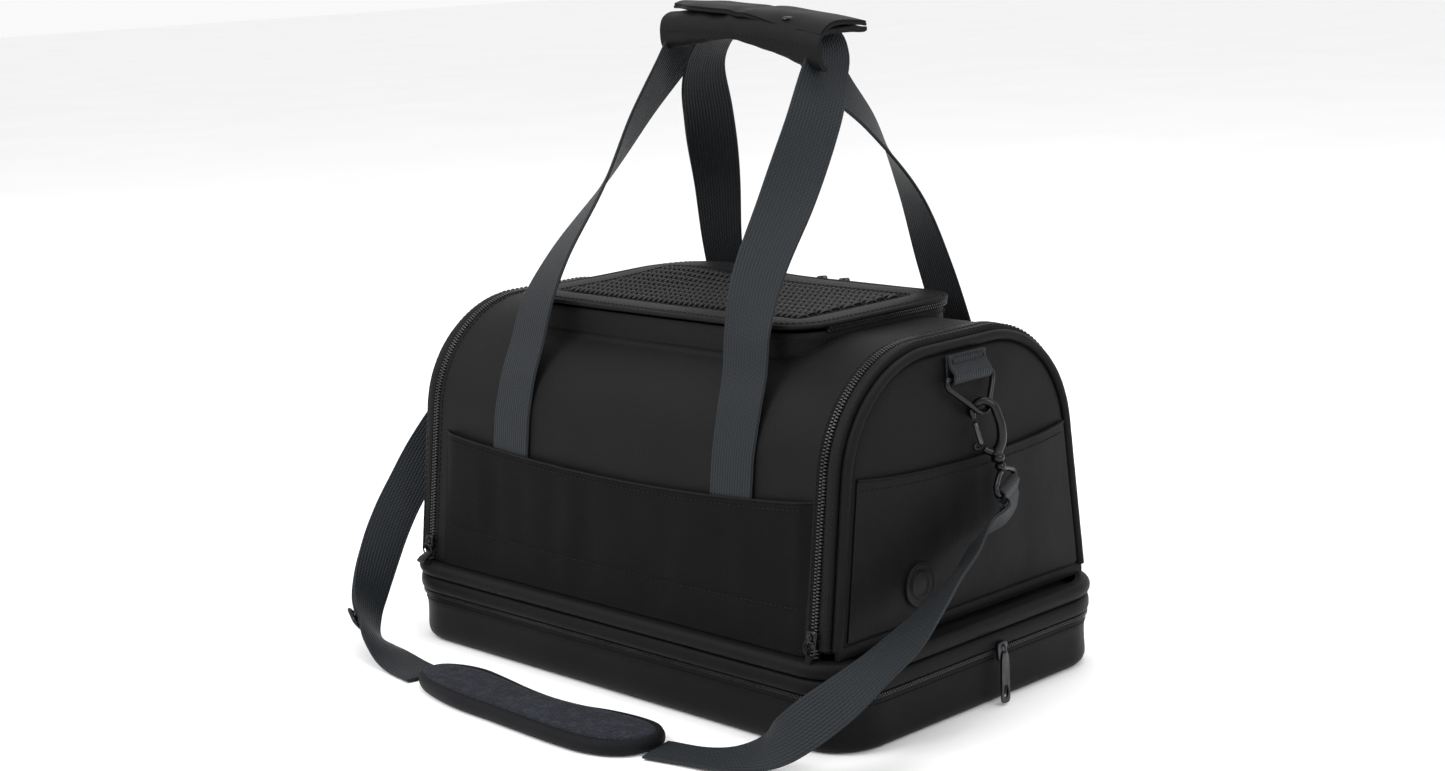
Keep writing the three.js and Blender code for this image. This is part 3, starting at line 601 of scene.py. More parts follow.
# ---------------------------------------------------------------- finishes
class Nodes:
    """Short way to wire a material's nodes."""

    def __init__(self, name):
        self.material = bpy.data.materials.new(name)
        self.material.use_nodes = True
        self.tree = self.material.node_tree
        self.shader = self.tree.nodes["Principled BSDF"]

    def add(self, kind, inputs=(), **settings):
        """A node with its settings, and inputs given as (socket, value or output socket)."""
        node = self.tree.nodes.new(kind)
        for key, value in settings.items():
            setattr(node, key, value)
        for socket, value in inputs:
            if isinstance(value, bpy.types.NodeSocket):
                self.tree.links.new(value, node.inputs[socket])
            else:
                node.inputs[socket].default_value = value
        return node

    def math(self, operation, a, b=0.0, c=0.0):
        """Result of one arithmetic step."""
        return self.add("ShaderNodeMath", [(0, a), (1, b), (2, c)], operation=operation).outputs[0]

    def ramp(self, factor, stops):
        """Colour ramp with (position, colour) stops."""
        node = self.add("ShaderNodeValToRGB", [("Fac", factor)])
        node.color_ramp.elements[0].position = stops[0][0]
        node.color_ramp.elements[1].position = stops[-1][0]
        node.color_ramp.elements[0].color = (*stops[0][1], 1)
        node.color_ramp.elements[1].color = (*stops[-1][1], 1)
        for position, colour in stops[1:-1]:
            node.color_ramp.elements.new(position).color = (*colour, 1)
        return node.outputs["Color"]

    def finish(self, colour, roughness, bump=None, strength=0.3, distance=0.0003, **fixed):
        """Links colour, roughness and bump to the shader and sets its fixed values."""
        self.tree.links.new(colour, self.shader.inputs["Base Color"])
        self.tree.links.new(roughness, self.shader.inputs["Roughness"])
        if bump is not None:
            node = self.add(
                "ShaderNodeBump", [("Height", bump), ("Strength", strength), ("Distance", distance)]
            )
            self.tree.links.new(node.outputs[0], self.shader.inputs["Normal"])
        for socket, value in fixed.items():
            self.shader.inputs[socket.replace("_", " ")].default_value = value
        return self.material


def shade(colour, factor):
    """The same colour, lighter or darker."""
    return tuple(min(1.0, c * factor) for c in colour)


def woven_cloth(name, colour, gloss=0.62, thread=0.9 * MM, depth=0.35, specular=0.09):
    """Plain-weave cloth: fine over-and-under threads, thicker slubs both ways and faint mottling."""
    n = Nodes(name)
    uv = n.add("ShaderNodeTexCoord").outputs["UV"]
    place = n.add("ShaderNodeTexCoord").outputs["Object"]
    scale = 0.314 / thread
    warp = n.add(
        "ShaderNodeTexWave", [("Vector", uv), ("Scale", scale)], bands_direction="X"
    ).outputs["Fac"]
    weft = n.add(
        "ShaderNodeTexWave", [("Vector", uv), ("Scale", scale)], bands_direction="Y"
    ).outputs["Fac"]
    weave = n.math("MULTIPLY", warp, weft)
    slubs = []
    for stretch in ((40.0, 900.0, 1.0), (900.0, 40.0, 1.0)):
        drawn = n.add("ShaderNodeMapping", [("Vector", uv), ("Scale", stretch)]).outputs[0]
        slubs.append(
            n.add("ShaderNodeTexNoise", [("Vector", drawn), ("Scale", 1.0), ("Detail", 2.0)]).outputs["Fac"]
        )
    slub = n.math("MAXIMUM", slubs[0], slubs[1])
    mottle = n.add(
        "ShaderNodeTexNoise", [("Vector", place), ("Scale", 26.0), ("Detail", 4.0)]
    ).outputs["Fac"]
    mix = n.math("ADD", n.math("MULTIPLY", slub, 0.7), n.math("MULTIPLY", mottle, 0.3))
    tone = n.ramp(mix, [(0.35, shade(colour, 0.72)), (0.55, colour), (0.75, shade(colour, 1.45))])
    rough = n.math("ADD", n.math("MULTIPLY", slub, 0.22), gloss - 0.1)
    height = n.math("ADD", n.math("MULTIPLY", weave, 0.5), slub)
    return n.finish(tone, rough, height, strength=depth, distance=0.0005, Sheen_Weight=0.015,
                    Sheen_Roughness=0.4, Specular_IOR_Level=specular)


def ribbed_webbing(name, colour):
    """Polyester webbing: ribs along its length and a fine zigzag across them."""
    n = Nodes(name)
    uv = n.add("ShaderNodeTexCoord").outputs["UV"]
    ribs = n.add(
        "ShaderNodeTexWave", [("Vector", uv), ("Scale", 0.314 / (2.3 * MM))], bands_direction="X"
    ).outputs["Fac"]
    pick = n.add("ShaderNodeTexWave", [("Vector", uv), ("Scale", 0.314 / (1.6 * MM)), ("Distortion", 0.6)],
                 bands_direction="DIAGONAL").outputs["Fac"]
    drawn = n.add("ShaderNodeMapping", [("Vector", uv), ("Scale", (1500.0, 60.0, 1.0))]).outputs[0]
    fibre = n.add("ShaderNodeTexNoise", [("Vector", drawn), ("Scale", 1.0), ("Detail", 3.0)]).outputs["Fac"]
    mix = n.math("ADD", n.math("MULTIPLY", ribs, 0.45), n.math("MULTIPLY", fibre, 0.55))
    tone = n.ramp(mix, [(0.2, shade(colour, 0.6)), (0.5, colour), (0.8, shade(colour, 1.5))])
    rough = n.math("ADD", n.math("MULTIPLY", fibre, 0.25), 0.42)
    height = n.math("ADD", ribs, n.math("MULTIPLY", pick, 0.6))
    return n.finish(tone, rough, height, strength=0.5, distance=0.0005, Sheen_Weight=0.04,
                    Sheen_Roughness=0.4, Specular_IOR_Level=0.16)


def speckled_felt(name, colour):
    """Matted felt with lighter and darker specks."""
    n = Nodes(name)
    place = n.add("ShaderNodeTexCoord").outputs["Object"]
    fine = n.add(
        "ShaderNodeTexNoise", [("Vector", place), ("Scale", 520.0), ("Detail", 3.0)]
    ).outputs["Fac"]
    coarse = n.add(
        "ShaderNodeTexNoise", [("Vector", place), ("Scale", 140.0), ("Detail", 5.0)]
    ).outputs["Fac"]
    mix = n.math("ADD", n.math("MULTIPLY", fine, 0.6), n.math("MULTIPLY", coarse, 0.4))
    tone = n.ramp(mix, [(0.38, shade(colour, 0.45)), (0.5, colour), (0.62, shade(colour, 2.6))])
    rough = n.math("ADD", n.math("MULTIPLY", fine, 0.2), 0.75)
    return n.finish(tone, rough, mix, strength=0.9, distance=0.001, Sheen_Weight=0.04,
                    Sheen_Roughness=0.6, Specular_IOR_Level=0.1)


def fleece_pile(name, colour):
    """Short soft pile."""
    n = Nodes(name)
    place = n.add("ShaderNodeTexCoord").outputs["Object"]
    tufts = n.add("ShaderNodeTexVoronoi", [("Vector", place), ("Scale", 260.0)]).outputs["Distance"]
    clumps = n.add(
        "ShaderNodeTexNoise", [("Vector", place), ("Scale", 45.0), ("Detail", 4.0)]
    ).outputs["Fac"]
    tone = n.ramp(n.math("ADD", n.math("MULTIPLY", tufts, 0.5), n.math("MULTIPLY", clumps, 0.5)),
                  [(0.2, shade(colour, 1.2)), (0.8, shade(colour, 0.55))])
    rough = n.math("ADD", n.math("MULTIPLY", clumps, 0.1), 0.85)
    return n.finish(
        tone, rough, n.math("ADD", tufts, clumps), strength=0.8, distance=0.002, Sheen_Weight=0.5
    )


def moulded_plastic(name, colour, gloss, grain=500.0, strength=0.12, specular=0.2):
    """Moulded plastic or rubber with a fine grain."""
    n = Nodes(name)
    place = n.add("ShaderNodeTexCoord").outputs["Object"]
    fine = n.add(
        "ShaderNodeTexNoise", [("Vector", place), ("Scale", grain), ("Detail", 2.0)]
    ).outputs["Fac"]
    worn = n.add("ShaderNodeTexNoise", [("Vector", place), ("Scale", 60.0), ("Detail", 4.0)]).outputs["Fac"]
    tone = n.ramp(worn, [(0.3, shade(colour, 0.8)), (0.7, shade(colour, 1.3))])
    rough = n.math("ADD", n.math("MULTIPLY", worn, 0.2), gloss)
    return n.finish(tone, rough, fine, strength=strength, distance=0.0004, Specular_IOR_Level=specular)


def plated_metal(name, colour, gloss, metallic=1.0, specular=0.5):
    """Plated or enamelled metal with faint handling marks."""
    n = Nodes(name)
    place = n.add("ShaderNodeTexCoord").outputs["Object"]
    marks = n.add(
        "ShaderNodeTexNoise", [("Vector", place), ("Scale", 180.0), ("Detail", 6.0)]
    ).outputs["Fac"]
    tone = n.ramp(marks, [(0.3, shade(colour, 0.8)), (0.75, shade(colour, 1.25))])
    rough = n.math("ADD", n.math("MULTIPLY", marks, 0.2), gloss)
    return n.finish(tone, rough, marks, strength=0.05, distance=0.0003, Metallic=metallic,
                    Specular_IOR_Level=specular)


def air_mesh(name, colour):
    """Knitted mesh with small eyes between its yarns; the eyes are painted dark as painted shade in the
    holes, and the raised yarn between them is painted lighter as painted light.
    """
    n = Nodes(name)
    place = n.add("ShaderNodeTexCoord").outputs["Object"]
    eyes = n.add(
        "ShaderNodeTexVoronoi", [("Vector", place), ("Scale", 420.0), ("Randomness", 0.35)]
    ).outputs["Distance"]
    yarn = n.add(
        "ShaderNodeTexNoise", [("Vector", place), ("Scale", 300.0), ("Detail", 3.0)]
    ).outputs["Fac"]
    # Painted shade and light: near black in the eyes, lighter on the raised yarn between them.
    tone = n.ramp(eyes, [(0.1, shade(colour, 0.25)), (0.45, colour), (0.8, shade(colour, 1.9))])
    rough = n.math("ADD", n.math("MULTIPLY", yarn, 0.2), 0.55)
    return n.finish(tone, rough, eyes, strength=0.9, distance=0.0006, Specular_IOR_Level=0.08)


_finishes = {}


def finish(name):
    """The named finish, made the first time that it is asked for."""
    c = colours()
    makers = {
        "body cloth": lambda: woven_cloth("body cloth", tuple(c.nylon), gloss=0.52),
        # Painted shade: the front pocket's cloth is the body nylon darkened to 0.85, as the slack pocket
        # low on the wall gets less light than the upper wall.
        "pocket cloth with painted shade": lambda: woven_cloth(
            "pocket cloth with painted shade", shade(tuple(c.nylon), 0.85), gloss=0.6, specular=0.05
        ),
        "base cloth": lambda: woven_cloth(
            "base cloth", tuple(c.base), gloss=0.46, thread=0.8 * MM, depth=0.25, specular=0.08
        ),
        "trim cloth": lambda: woven_cloth(
            "trim cloth", shade(tuple(c.nylon), 0.85), gloss=0.5, thread=0.7 * MM
        ),
        "webbing": lambda: ribbed_webbing("webbing", tuple(c.webbing)),
        # Painted shade: the back handle's webbing is the same webbing darkened to 0.8, as it lies on the
        # far side away from the light.
        "back webbing with painted shade": lambda: ribbed_webbing("back webbing with painted shade", shade(tuple(c.webbing), 0.8)),
        "thread": lambda: moulded_plastic(
            "thread", shade(tuple(c.nylon), 1.5), 0.5, grain=900.0, specular=0.12
        ),
        "zip tape": lambda: woven_cloth("zip tape", shade(tuple(c.nylon), 0.7), gloss=0.7, thread=0.6 * MM),
        "zip teeth": lambda: moulded_plastic(
            "zip teeth", tuple(c.zip_coil), 0.22, grain=300.0, specular=0.55
        ),
        "felt": lambda: speckled_felt("felt", tuple(c.felt)),
        "binding": lambda: woven_cloth("binding", tuple(c.binding), gloss=0.6, thread=0.7 * MM),
        "air mesh with painted shade": lambda: air_mesh("air mesh with painted shade", tuple(c.net)),
        # Painted light: the raised bars are the mesh colour lightened 1.6 times, for the light they catch
        # above the shaded ground.
        "mesh bars with painted light": lambda: moulded_plastic(
            "mesh bars with painted light", shade(tuple(c.net), 1.6), 0.35, grain=900.0, specular=0.3
        ),
        "enamel": lambda: plated_metal("enamel", tuple(c.enamel), 0.12, metallic=0.0, specular=0.25),
        "plated metal": lambda: plated_metal("plated metal", tuple(c.steel), 0.22),
        "board": lambda: moulded_plastic("board", tuple(c.board), 0.5),
        "fleece": lambda: fleece_pile("fleece", tuple(c.fleece)),
        "rubber": lambda: moulded_plastic("rubber", tuple(c.rubber), 0.4, specular=0.12),
    }
    if name not in _finishes:
        _finishes[name] = makers[name]()
    return _finishes[name]


# ---------------------------------------------------------------- the camera, floor and light
CAMERA_TURN = math.radians(45.816)
CAMERA_RISE = math.radians(11.252)
CAMERA_ROLL = math.radians(-2.575)
CAMERA_AWAY = 1.64931
CAMERA_TARGET = (-0.011508, 0.0, 0.192398)
CAMERA_LENS = 56.89


def aim(obj, target):
    """Points a light at a place."""
    away = Vector(obj.location) - Vector(target)
    obj.rotation_euler = away.to_track_quat("Z", "Y").to_euler()


class CARRIER_OT_stage(bpy.types.Operator):
    """Camera, white floor and soft studio light"""

    bl_idname = "carrier.stage"
    bl_label = "Stage"

    def execute(self, context):
        a, e, r = CAMERA_TURN, CAMERA_RISE, CAMERA_ROLL
        back = Vector((math.sin(a) * math.cos(e), -math.cos(a) * math.cos(e), math.sin(e)))
        right = (-back).cross(Vector((0, 0, 1))).normalized()
        up = right.cross(-back)
        right, up = right * math.cos(r) + up * math.sin(r), up * math.cos(r) - right * math.sin(r)
        data = bpy.data.cameras.new("camera")
        data.lens = CAMERA_LENS
        data.sensor_width = 36
        camera = bpy.data.objects.new("camera", data)
        place = Matrix((right, up, back)).transposed().to_4x4()
        place.translation = Vector(CAMERA_TARGET) + back * CAMERA_AWAY
        camera.matrix_world = place
        context.scene.collection.objects.link(camera)
        context.scene.camera = camera

        far = 14.0
        floor = make_mesh(
            "floor", [(-far, -far, 0), (far, -far, 0), (far, far, 0), (-far, far, 0)], [(0, 1, 2, 3)],
            self.paper()
        )
        floor.location.z = -0.5 * MM

        world = bpy.data.worlds.new("studio")
        context.scene.world = world
        world.use_nodes = True
        world.node_tree.nodes["Background"].inputs["Color"].default_value = (1, 1, 1, 1)
        world.node_tree.nodes["Background"].inputs["Strength"].default_value = 0.95
        for name, place, size, power, target in (
            ("key light", (-0.9, -1.9, 2.0), 1.5, 46.0, (0, 0, 0.15)),
            ("end light", (2.2, -0.2, 1.5), 1.2, 22.0, (0, 0, 0.15)),
            ("top light", (0.0, 0.3, 2.4), 1.4, 26.0, (0, 0, 0.2)),
        ):
            light = bpy.data.lights.new(name, "AREA")
            light.size = size
            light.energy = power
            lamp = bpy.data.objects.new(name, light)
            lamp.location = place
            aim(lamp, target)
            context.scene.collection.objects.link(lamp)
        context.scene.view_settings.view_transform = "Standard"
        return {"FINISHED"}

    def paper(self):
        """White seamless paper."""
        n = Nodes("studio paper")
        place = n.add("ShaderNodeTexCoord").outputs["Object"]
        grain = n.add("ShaderNodeTexNoise", [("Vector", place), ("Scale", 3.0)]).outputs["Fac"]
        tone = n.ramp(grain, [(0.3, (0.93, 0.93, 0.93)), (0.7, (0.95, 0.95, 0.95))])
        rough = n.math("ADD", n.math("MULTIPLY", grain, 0.05), 0.9)
        return n.finish(tone, rough)


# ---------------------------------------------------------------- shoulder strap
def strap_end(name, route, clear):
    """Webbing folded round the swivel eye's flat bar, doubled back and sewn down in a box."""
    s = sizes()
    _, place, across, up = strap_grid(route, s.strap_width, s.strap_thick, 240)
    keep = int(240 * FOLD_LENGTH / run_length(place)[-1])
    along = tangents(place)
    lift = s.strap_thick + 0.25 * MM
    bar = place[0] - along[0] * 4.1 * MM
    turns = [-math.cos(a) * up[0] * clear - math.sin(a) * along[0] for a in np.linspace(0, math.pi, 9)]
    wrap = [place[0] + along[0] * 2 * MM] + [bar + 3.1 * MM * turn for turn in turns]
    fold = [(*p, *across[0]) for p in wrap]
    fold += [
        (*(p + n * clear * lift), *c) for p, n, c in zip(place[4:keep:3], up[4:keep:3], across[4:keep:3])
    ]
    grid, *_ = strap_grid(fold, s.strap_width * 0.94, s.strap_thick, 60)
    folded = loft(name, grid, finish("webbing"))
    top = [p + n * clear * (lift + s.strap_thick / 2) for p, n in zip(place[12:keep:4], up[12:keep:4])]
    wide = s.strap_width * 0.4
    edges = [[p + c * k * wide for p, c in zip(top, across[12:keep:4])] for k in (-1, 1)]
    runs = [edges[0], edges[1], [edges[0][0], edges[1][0]], [edges[0][-1], edges[1][-1]],
            [edges[0][0], edges[1][-1]], [edges[0][-1], edges[1][0]]]
    sewn = []
    for run in runs:
        sewn += stitch_parts(run, up[keep // 2] * clear)
    thread = gather(name + "_stitching", sewn, finish("thread"))
    return [folded, thread]


class CARRIER_OT_shoulder_strap(bpy.types.Operator):
    """Two lengths of strap webbing, their sewn ends, the adjuster and the padded sleeve"""

    bl_idname = "carrier.shoulder_strap"
    bl_label = "Shoulder strap"

    def execute(self, context):
        s = sizes()
        for side, route, count, loose, tight, clear in (
            ("right", STRAP_RIGHT, 110, 0.5, 0.2, 1), ("left", STRAP_LEFT, 100, 0.26, 0.04, -1)
        ):
            door = f"{side}_door"
            grid, place, *_ = strap_grid(route, s.strap_width, s.strap_thick, count)
            strap = loft(f"strap_{side}_webbing", grid, finish("webbing"))
            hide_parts(f"strap_{side}")
            ends = strap_end(f"strap_{side}_fold", route, clear)
            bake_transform(strap)
            for piece in ends:
                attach(piece, door)
            pieces = list(ends)
            if side == "left":
                pieces += self.adjuster(route)
        self.sleeve()
        return {"FINISHED"}

    def adjuster(self, route):
        """Glossy slide with two slots, and the doubled webbing that runs back from it."""
        s = sizes()
        spot = Vector((-0.211, -0.183, 0.0195))
        across = Vector((-0.05, 0.66, -0.75)).normalized()
        along = Vector((0.87, -0.33, -0.37))
        place = place_matrix(spot, across, along)
        place.translation = spot + place.col[2].to_3d() * (s.strap_thick / 2 + 2.9 * MM)
        half_w, half_l, edge = 19.5 * MM, 10 * MM, 2.2 * MM
        parts = []
        rounded = round_rect(half_w - edge / 2, half_l - edge / 2, 3 * MM, 40)
        loop = np.array([tuple(place @ Vector((u, v, 0))) for u, v in rounded])
        normal = place.col[2].to_3d()
        parts.append(tube_parts(loop, 1.35 * MM, 10, closed=True, up=normal))
        bar = [tuple(place @ Vector((k * (half_w - edge), 0, 0))) for k in (-1, -0.5, 0, 0.5, 1)]
        parts.append(tube_parts(bar, 1.35 * MM, 10, up=normal))
        slide = gather("strap_adjuster_slide", parts, finish("enamel"))
        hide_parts("strap_adjuster")
        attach(slide, "cabin")
        tail_route = [r for r in route if 0.018 < r[2] < 0.075]
        grid, *_, up = strap_grid(tail_route, s.strap_width * 0.98, s.strap_thick, 40)
        out = normal.normalized()
        turn = 1 if np.dot(up[-1], np.array(out)) > 0 else -1
        shift = up * turn * (s.strap_thick + 0.35 * MM)
        tail = loft("strap_doubled_run", grid + shift[:, None, :], finish("webbing"))
        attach(tail, "cabin")
        return [slide, tail]

    def sleeve(self):
        """Kidney-shaped pad: felt top, smooth binding round its edge and a lining below."""
        low, high = PAD
        outline = np.array(
            [
                (-0.124, -0.199), (-0.120, -0.186), (-0.106, -0.178), (-0.085, -0.1745), (-0.060, -0.177),
                (-0.030, -0.1815), (0.0, -0.184), (0.030, -0.182), (0.052, -0.1765), (0.078, -0.1735),
                (0.098, -0.1755), (0.110, -0.184), (0.113, -0.196), (0.109, -0.212), (0.098, -0.2225),
                (0.078, -0.2295), (0.050, -0.231), (0.015, -0.230), (-0.020, -0.2285), (-0.054, -0.2275),
                (-0.082, -0.2235), (-0.106, -0.2165), (-0.119, -0.208), (-0.124, -0.199)
            ]
        )
        edge = smooth_line(outline, 121)[:-1]
        middle_y = -0.203
        spine = np.column_stack([edge[:, 0] * 0.86 - 0.0006, np.full(len(edge), middle_y)])
        top_z = high.z - 1.0 * MM

        def ring(inset, z):
            toward = spine - edge
            reach = np.linalg.norm(toward, axis=1, keepdims=True)
            moved = edge + toward / np.maximum(reach, 1e-6) * np.minimum(inset, reach * 0.97)
            return np.column_stack([moved, np.full(len(edge), z)])

        def dome(share):
            toward = spine - edge
            moved = edge + toward * share
            lift = np.array([ripple(x, y, 0, 0.03, 3.1) for x, y in moved]) * 0.5 * MM
            z = top_z + 0.8 * MM * (1 - (1 - share) ** 2) + lift * share
            return np.column_stack([moved, z])

        binding = [
            ring(6 * MM, low.z + 0.3 * MM), ring(1.2 * MM, low.z + 0.8 * MM), ring(0, low.z + 3.2 * MM),
            ring(0.1 * MM, low.z + 6.4 * MM), ring(1.6 * MM, top_z - 0.7 * MM), ring(4.2 * MM, top_z),
            ring(6.8 * MM, top_z - 0.3 * MM), ring(7.6 * MM, top_z - 1.6 * MM)
        ]
        rim = loft("shoulder_pad_binding", binding, finish("binding"), caps=True, sharp=80)
        settle(rim, "cabin", "felt")
        felt = [dome(0.16), dome(0.24), dome(0.4), dome(0.6), dome(0.8), dome(0.97)]
        felt[0][:, 2] -= 1.8 * MM
        cover = loft("shoulder_pad_felt", felt, finish("felt"), caps=True, sharp=80)
        settle(cover, "cabin", "felt", "shoulder_pad", fill=0.7)
        seam = ring(5.6 * MM, top_z - 0.05 * MM)
        sewn = stitch_parts(np.vstack([seam, seam[:1]]), (0, 0, 1), length=2.4 * MM)
        sew("shoulder_pad_stitching", sewn, "cabin", "felt")


# ---------------------------------------------------------------- base
def base_loop(half_x, half_y, radius, z, count=300, sag=0.0, seed=0.0):
    """Base-shaped ring with soft waves of a given depth."""
    points = round_rect(half_x, half_y, radius, count)
    out = unit(points)
    wave = np.array([ripple(x, y, z, 0.06, seed) for x, y in points]) * sag
    moved = points + out * wave[:, None]
    return np.column_stack([moved, np.full(len(points), z)])


class CARRIER_OT_base(bpy.types.Operator):
    """Zip-off base: tray, band, piping and the zip between them"""

    bl_idname = "carrier.base"
    bl_label = "Base tray and band"

    def execute(self, context):
        self.tray()
        self.band()
        self.zip()
        self.slider()
        for node in ("tray_board", "cabin_floor"):
            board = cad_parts[node]
            board.data.materials.clear()
            board.data.materials.append(finish("board"))
        return {"FINISHED"}

    def tray(self):
        """Low cloth tray with a rolled lower edge and a hemmed rim."""
        half_x, half_y, top = TRAY[1].x, TRAY[1].y, TRAY[1].z
        levels = [
            (12, 0), (7, 0.2), (3.6, 1.2), (1.4, 3.4), (0.3, 6.5), (0, 10), (0.35, 16), (0.5, 22),
            (0.3, 27), (0, 30.5), (0.25, 31.6), (0.0, 33.0), (0.6, top / MM), (3.4, top / MM), (4, 33),
            (4, 20), (4.2, 10), (7, 5), (12, 4)
        ]
        rows = []
        for inset, z in levels:
            i = inset * MM
            wave = 0.7 * MM if 8 < z < 30 and inset < 2 else 0.15 * MM
            rows.append(base_loop(half_x - i, half_y - i, PLAN_R - i, z * MM, sag=wave, seed=4.2))
        tray = loft("tray_cloth", rows, finish("base cloth"), sharp=60)
        settle(tray, "base_tray", "nylon_base", "tray_shell")
        seam = base_loop(half_x + 0.12 * MM, half_y + 0.12 * MM, PLAN_R, 31.0 * MM, count=400)
        sewn = stitch_parts(
            np.vstack([seam, seam[:1]]), np.column_stack([unit(seam[:, :2]), np.zeros(len(seam))])
        )
        thread = gather("tray_stitching", sewn, finish("thread"))
        settle(thread, "base_tray", "nylon_base")

    def band(self):
        """Wide glossy band above the zip, and the thick piping over it."""
        half_x, half_y = BAND[1].x, BAND[1].y
        z0, z1 = BAND[0].z, BAND[1].z
        profile = [
            (15, 0), (2.8, 0), (1.0, 0.06), (0.2, 0.2), (0, 0.42), (0.1, 0.62), (0.6, 0.85), (1.8, 0.97),
            (4, 1), (15, 1)
        ]
        rows = []
        for inset, t in profile:
            i = inset * MM
            rows.append(
                base_loop(
                    half_x - i, half_y - i, PLAN_R + 3 * MM - i, z0 + (z1 - z0) * t, sag=0.4 * MM, seed=8.8
                )
            )
        band = loft("base_band", rows, finish("base cloth"), close_rows=True, caps=False, sharp=60)
        settle(band, "cabin", "nylon_base", "base_flange")
        half_x, half_y = PIPING[1].x, PIPING[1].y
        z0, z1 = PIPING[0].z, PIPING[1].z
        radius = (z1 - z0) / 2
        rows = []
        for i in range(14):
            angle = -math.pi / 2 + math.pi * i / 13
            bulge = radius * 0.85 * math.cos(angle)
            x = half_x - radius * 0.85 + bulge
            y = half_y - radius * 0.85 + bulge
            rows.append(
                base_loop(
                    x, y, PLAN_R + x - TRAY[1].x, (z0 + z1) / 2 + radius * math.sin(angle), sag=0.35 * MM,
                    seed=2.5
                )
            )
        inner = 9.5 * MM
        rows.append(base_loop(half_x - inner, half_y - inner, PLAN_R - 4 * MM, z1))
        rows.append(base_loop(half_x - inner, half_y - inner, PLAN_R - 4 * MM, z0))
        piping = loft("base_piping", rows, finish("trim cloth"), close_rows=True, caps=False, sharp=60)
        settle(piping, "cabin", "nylon_base", "flange_piping")

    def zip(self):
        """Closed coil zip all round, on its two tapes."""
        half_x, half_y = COIL[1].x, COIL[1].y
        z0, z1 = COIL[0].z, COIL[1].z
        rows = []
        for inset, z in ((1.2, z0), (1.2, z1), (6, z1), (6, z0)):
            i = inset * MM
            rows.append(base_loop(half_x - i, half_y - i, PLAN_R + 1 * MM - i, z))
        tape = loft("base_zip_tape", rows, finish("zip tape"), close_rows=True, caps=False)
        settle(tape, "base_tray", "zip_coil", "base_zip_coil")
        line = base_loop(half_x - 1.1 * MM, half_y - 1.1 * MM, PLAN_R, (z0 + z1) / 2, count=500)
        line = np.vstack([line, line[:1]])
        up = np.column_stack([corner_out(line, TRAY[1].x, TRAY[1].y, PLAN_R), np.zeros(len(line))])
        across = np.tile((0.0, 0.0, 1.0), (len(line), 1))
        teeth = gather(
            "base_zip_teeth", zip_parts(line, across, up, sizes().tooth_pitch, 1.35 * MM, 1.3 * MM),
            finish("zip teeth")
        )
        settle(teeth, "base_tray", "zip_coil")

    def slider(self):
        """Zip slider with a bridge, and the hanging metal pull with its rounded hole."""
        low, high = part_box("base_zip_slider")
        cx, cy, cz = (low.x + high.x) / 2, (low.y + high.y) / 2, (low.z + high.z) / 2
        place = place_matrix((cx, cy, cz), (0, 1, 0), (0, 0, 1))
        wing, neck, tall = 4.5 * MM, 3.2 * MM, 6 * MM
        shape = [
            (-wing, tall), (wing, tall), (wing, 1 * MM), (neck, -tall), (-neck, -tall), (-wing, 1 * MM)
        ]
        outline = smooth_line(shape + shape[:1], 41)[:-1]
        parts = [plate_parts(outline, 3 * MM, place, bevel=0.6 * MM)]
        loop = [
            (high.x + d * MM, cy, cz + h * MM)
            for d, h in ((-0.6, 4.6), (1.4, 4.2), (2.2, 1.5), (1.4, -1.4), (-0.6, -1.8))
        ]
        parts.append(tube_parts(smooth_line(loop, 16), 0.8 * MM, 8, up=(0, 1, 0)))
        body = gather("base_slider_body", parts, finish("plated metal"))
        settle(body, "base_slider", "metal_grey", "base_zip_slider")
        low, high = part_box("base_zip_pull")
        px, pz = (low.x + high.x) / 2, high.z
        place = place_matrix((px, cy, 0), (0, 1, 0), (0, 0, 1))
        drop = pz - low.z
        outer = []
        for i in range(48):
            a = TAU * i / 48
            half = (3.4 + 1.3 * ease((1 - math.sin(a)) / 2)) * MM
            squared = signed_power(math.sin(a), 0.35)
            outer.append(
                (
                    half * signed_power(math.cos(a), 0.5),
                    pz - drop / 2 + squared * drop / 2
                )
            )
        hole = [
            (2.5 * MM * math.cos(TAU * i / 48), low.z + 8.2 * MM + 4.6 * MM * math.sin(TAU * i / 48))
            for i in range(48)
        ]
        pull = gather(
            "base_pull_plate", [ring_plate_parts(outer, hole, 1.6 * MM, place)], finish("plated metal")
        )
        settle(pull, "base_pull", "metal_grey", "base_zip_pull")


def corner_out(line, half_x, half_y, radius):
    """Outward direction, seen from above, at points of a rounded rectangle."""
    core = np.column_stack(
        [
            np.clip(line[:, 0], -(half_x - radius), half_x - radius),
            np.clip(line[:, 1], -(half_y - radius), half_y - radius)
        ]
    )
    return unit(line[:, :2] - core)


# ---------------------------------------------------------------- cabin walls
ARCH_COUNT = 131
SEAM_HALF = 0.186


def cabin_swell(x, y, z):
    """How far the padded wall stands in or out of its true section, with soft wrinkles."""
    s = sizes()
    end = 1 - abs(x / WALL[1].x) ** 6
    foot = ease((z - WALL_FOOT) / (30 * MM))
    waves = ripple(x, y * 0.4, z * 1.6, 0.085, 1.7) + 0.5 * ripple(x * 1.3, y, z * 2.2, 0.035, 5.1)
    creases = 0.6 * abs(ripple(x * 0.35, y, z * 2.0, 0.03, 9.4)) * ease((z - 0.16) / 0.04)
    belly = 1.4 * MM * math.sin(math.pi * min(max((z - WALL_FOOT) / (ROOF_Z - WALL_FOOT), 0), 1)) * end
    return belly * 0.5 + s.wrinkle * (waves * 0.55 - creases * 0.4) * end * foot


def wall_face(x, z, side=-1, lift=0.0):
    """Point on the outside of the straight front or back wall, lifted off it by a distance."""
    y = wall_y(z)
    out = cabin_swell(x, side * y, z) + lift
    return (x, side * (y + out / SLOPE), z + out * LEAN / SLOPE)


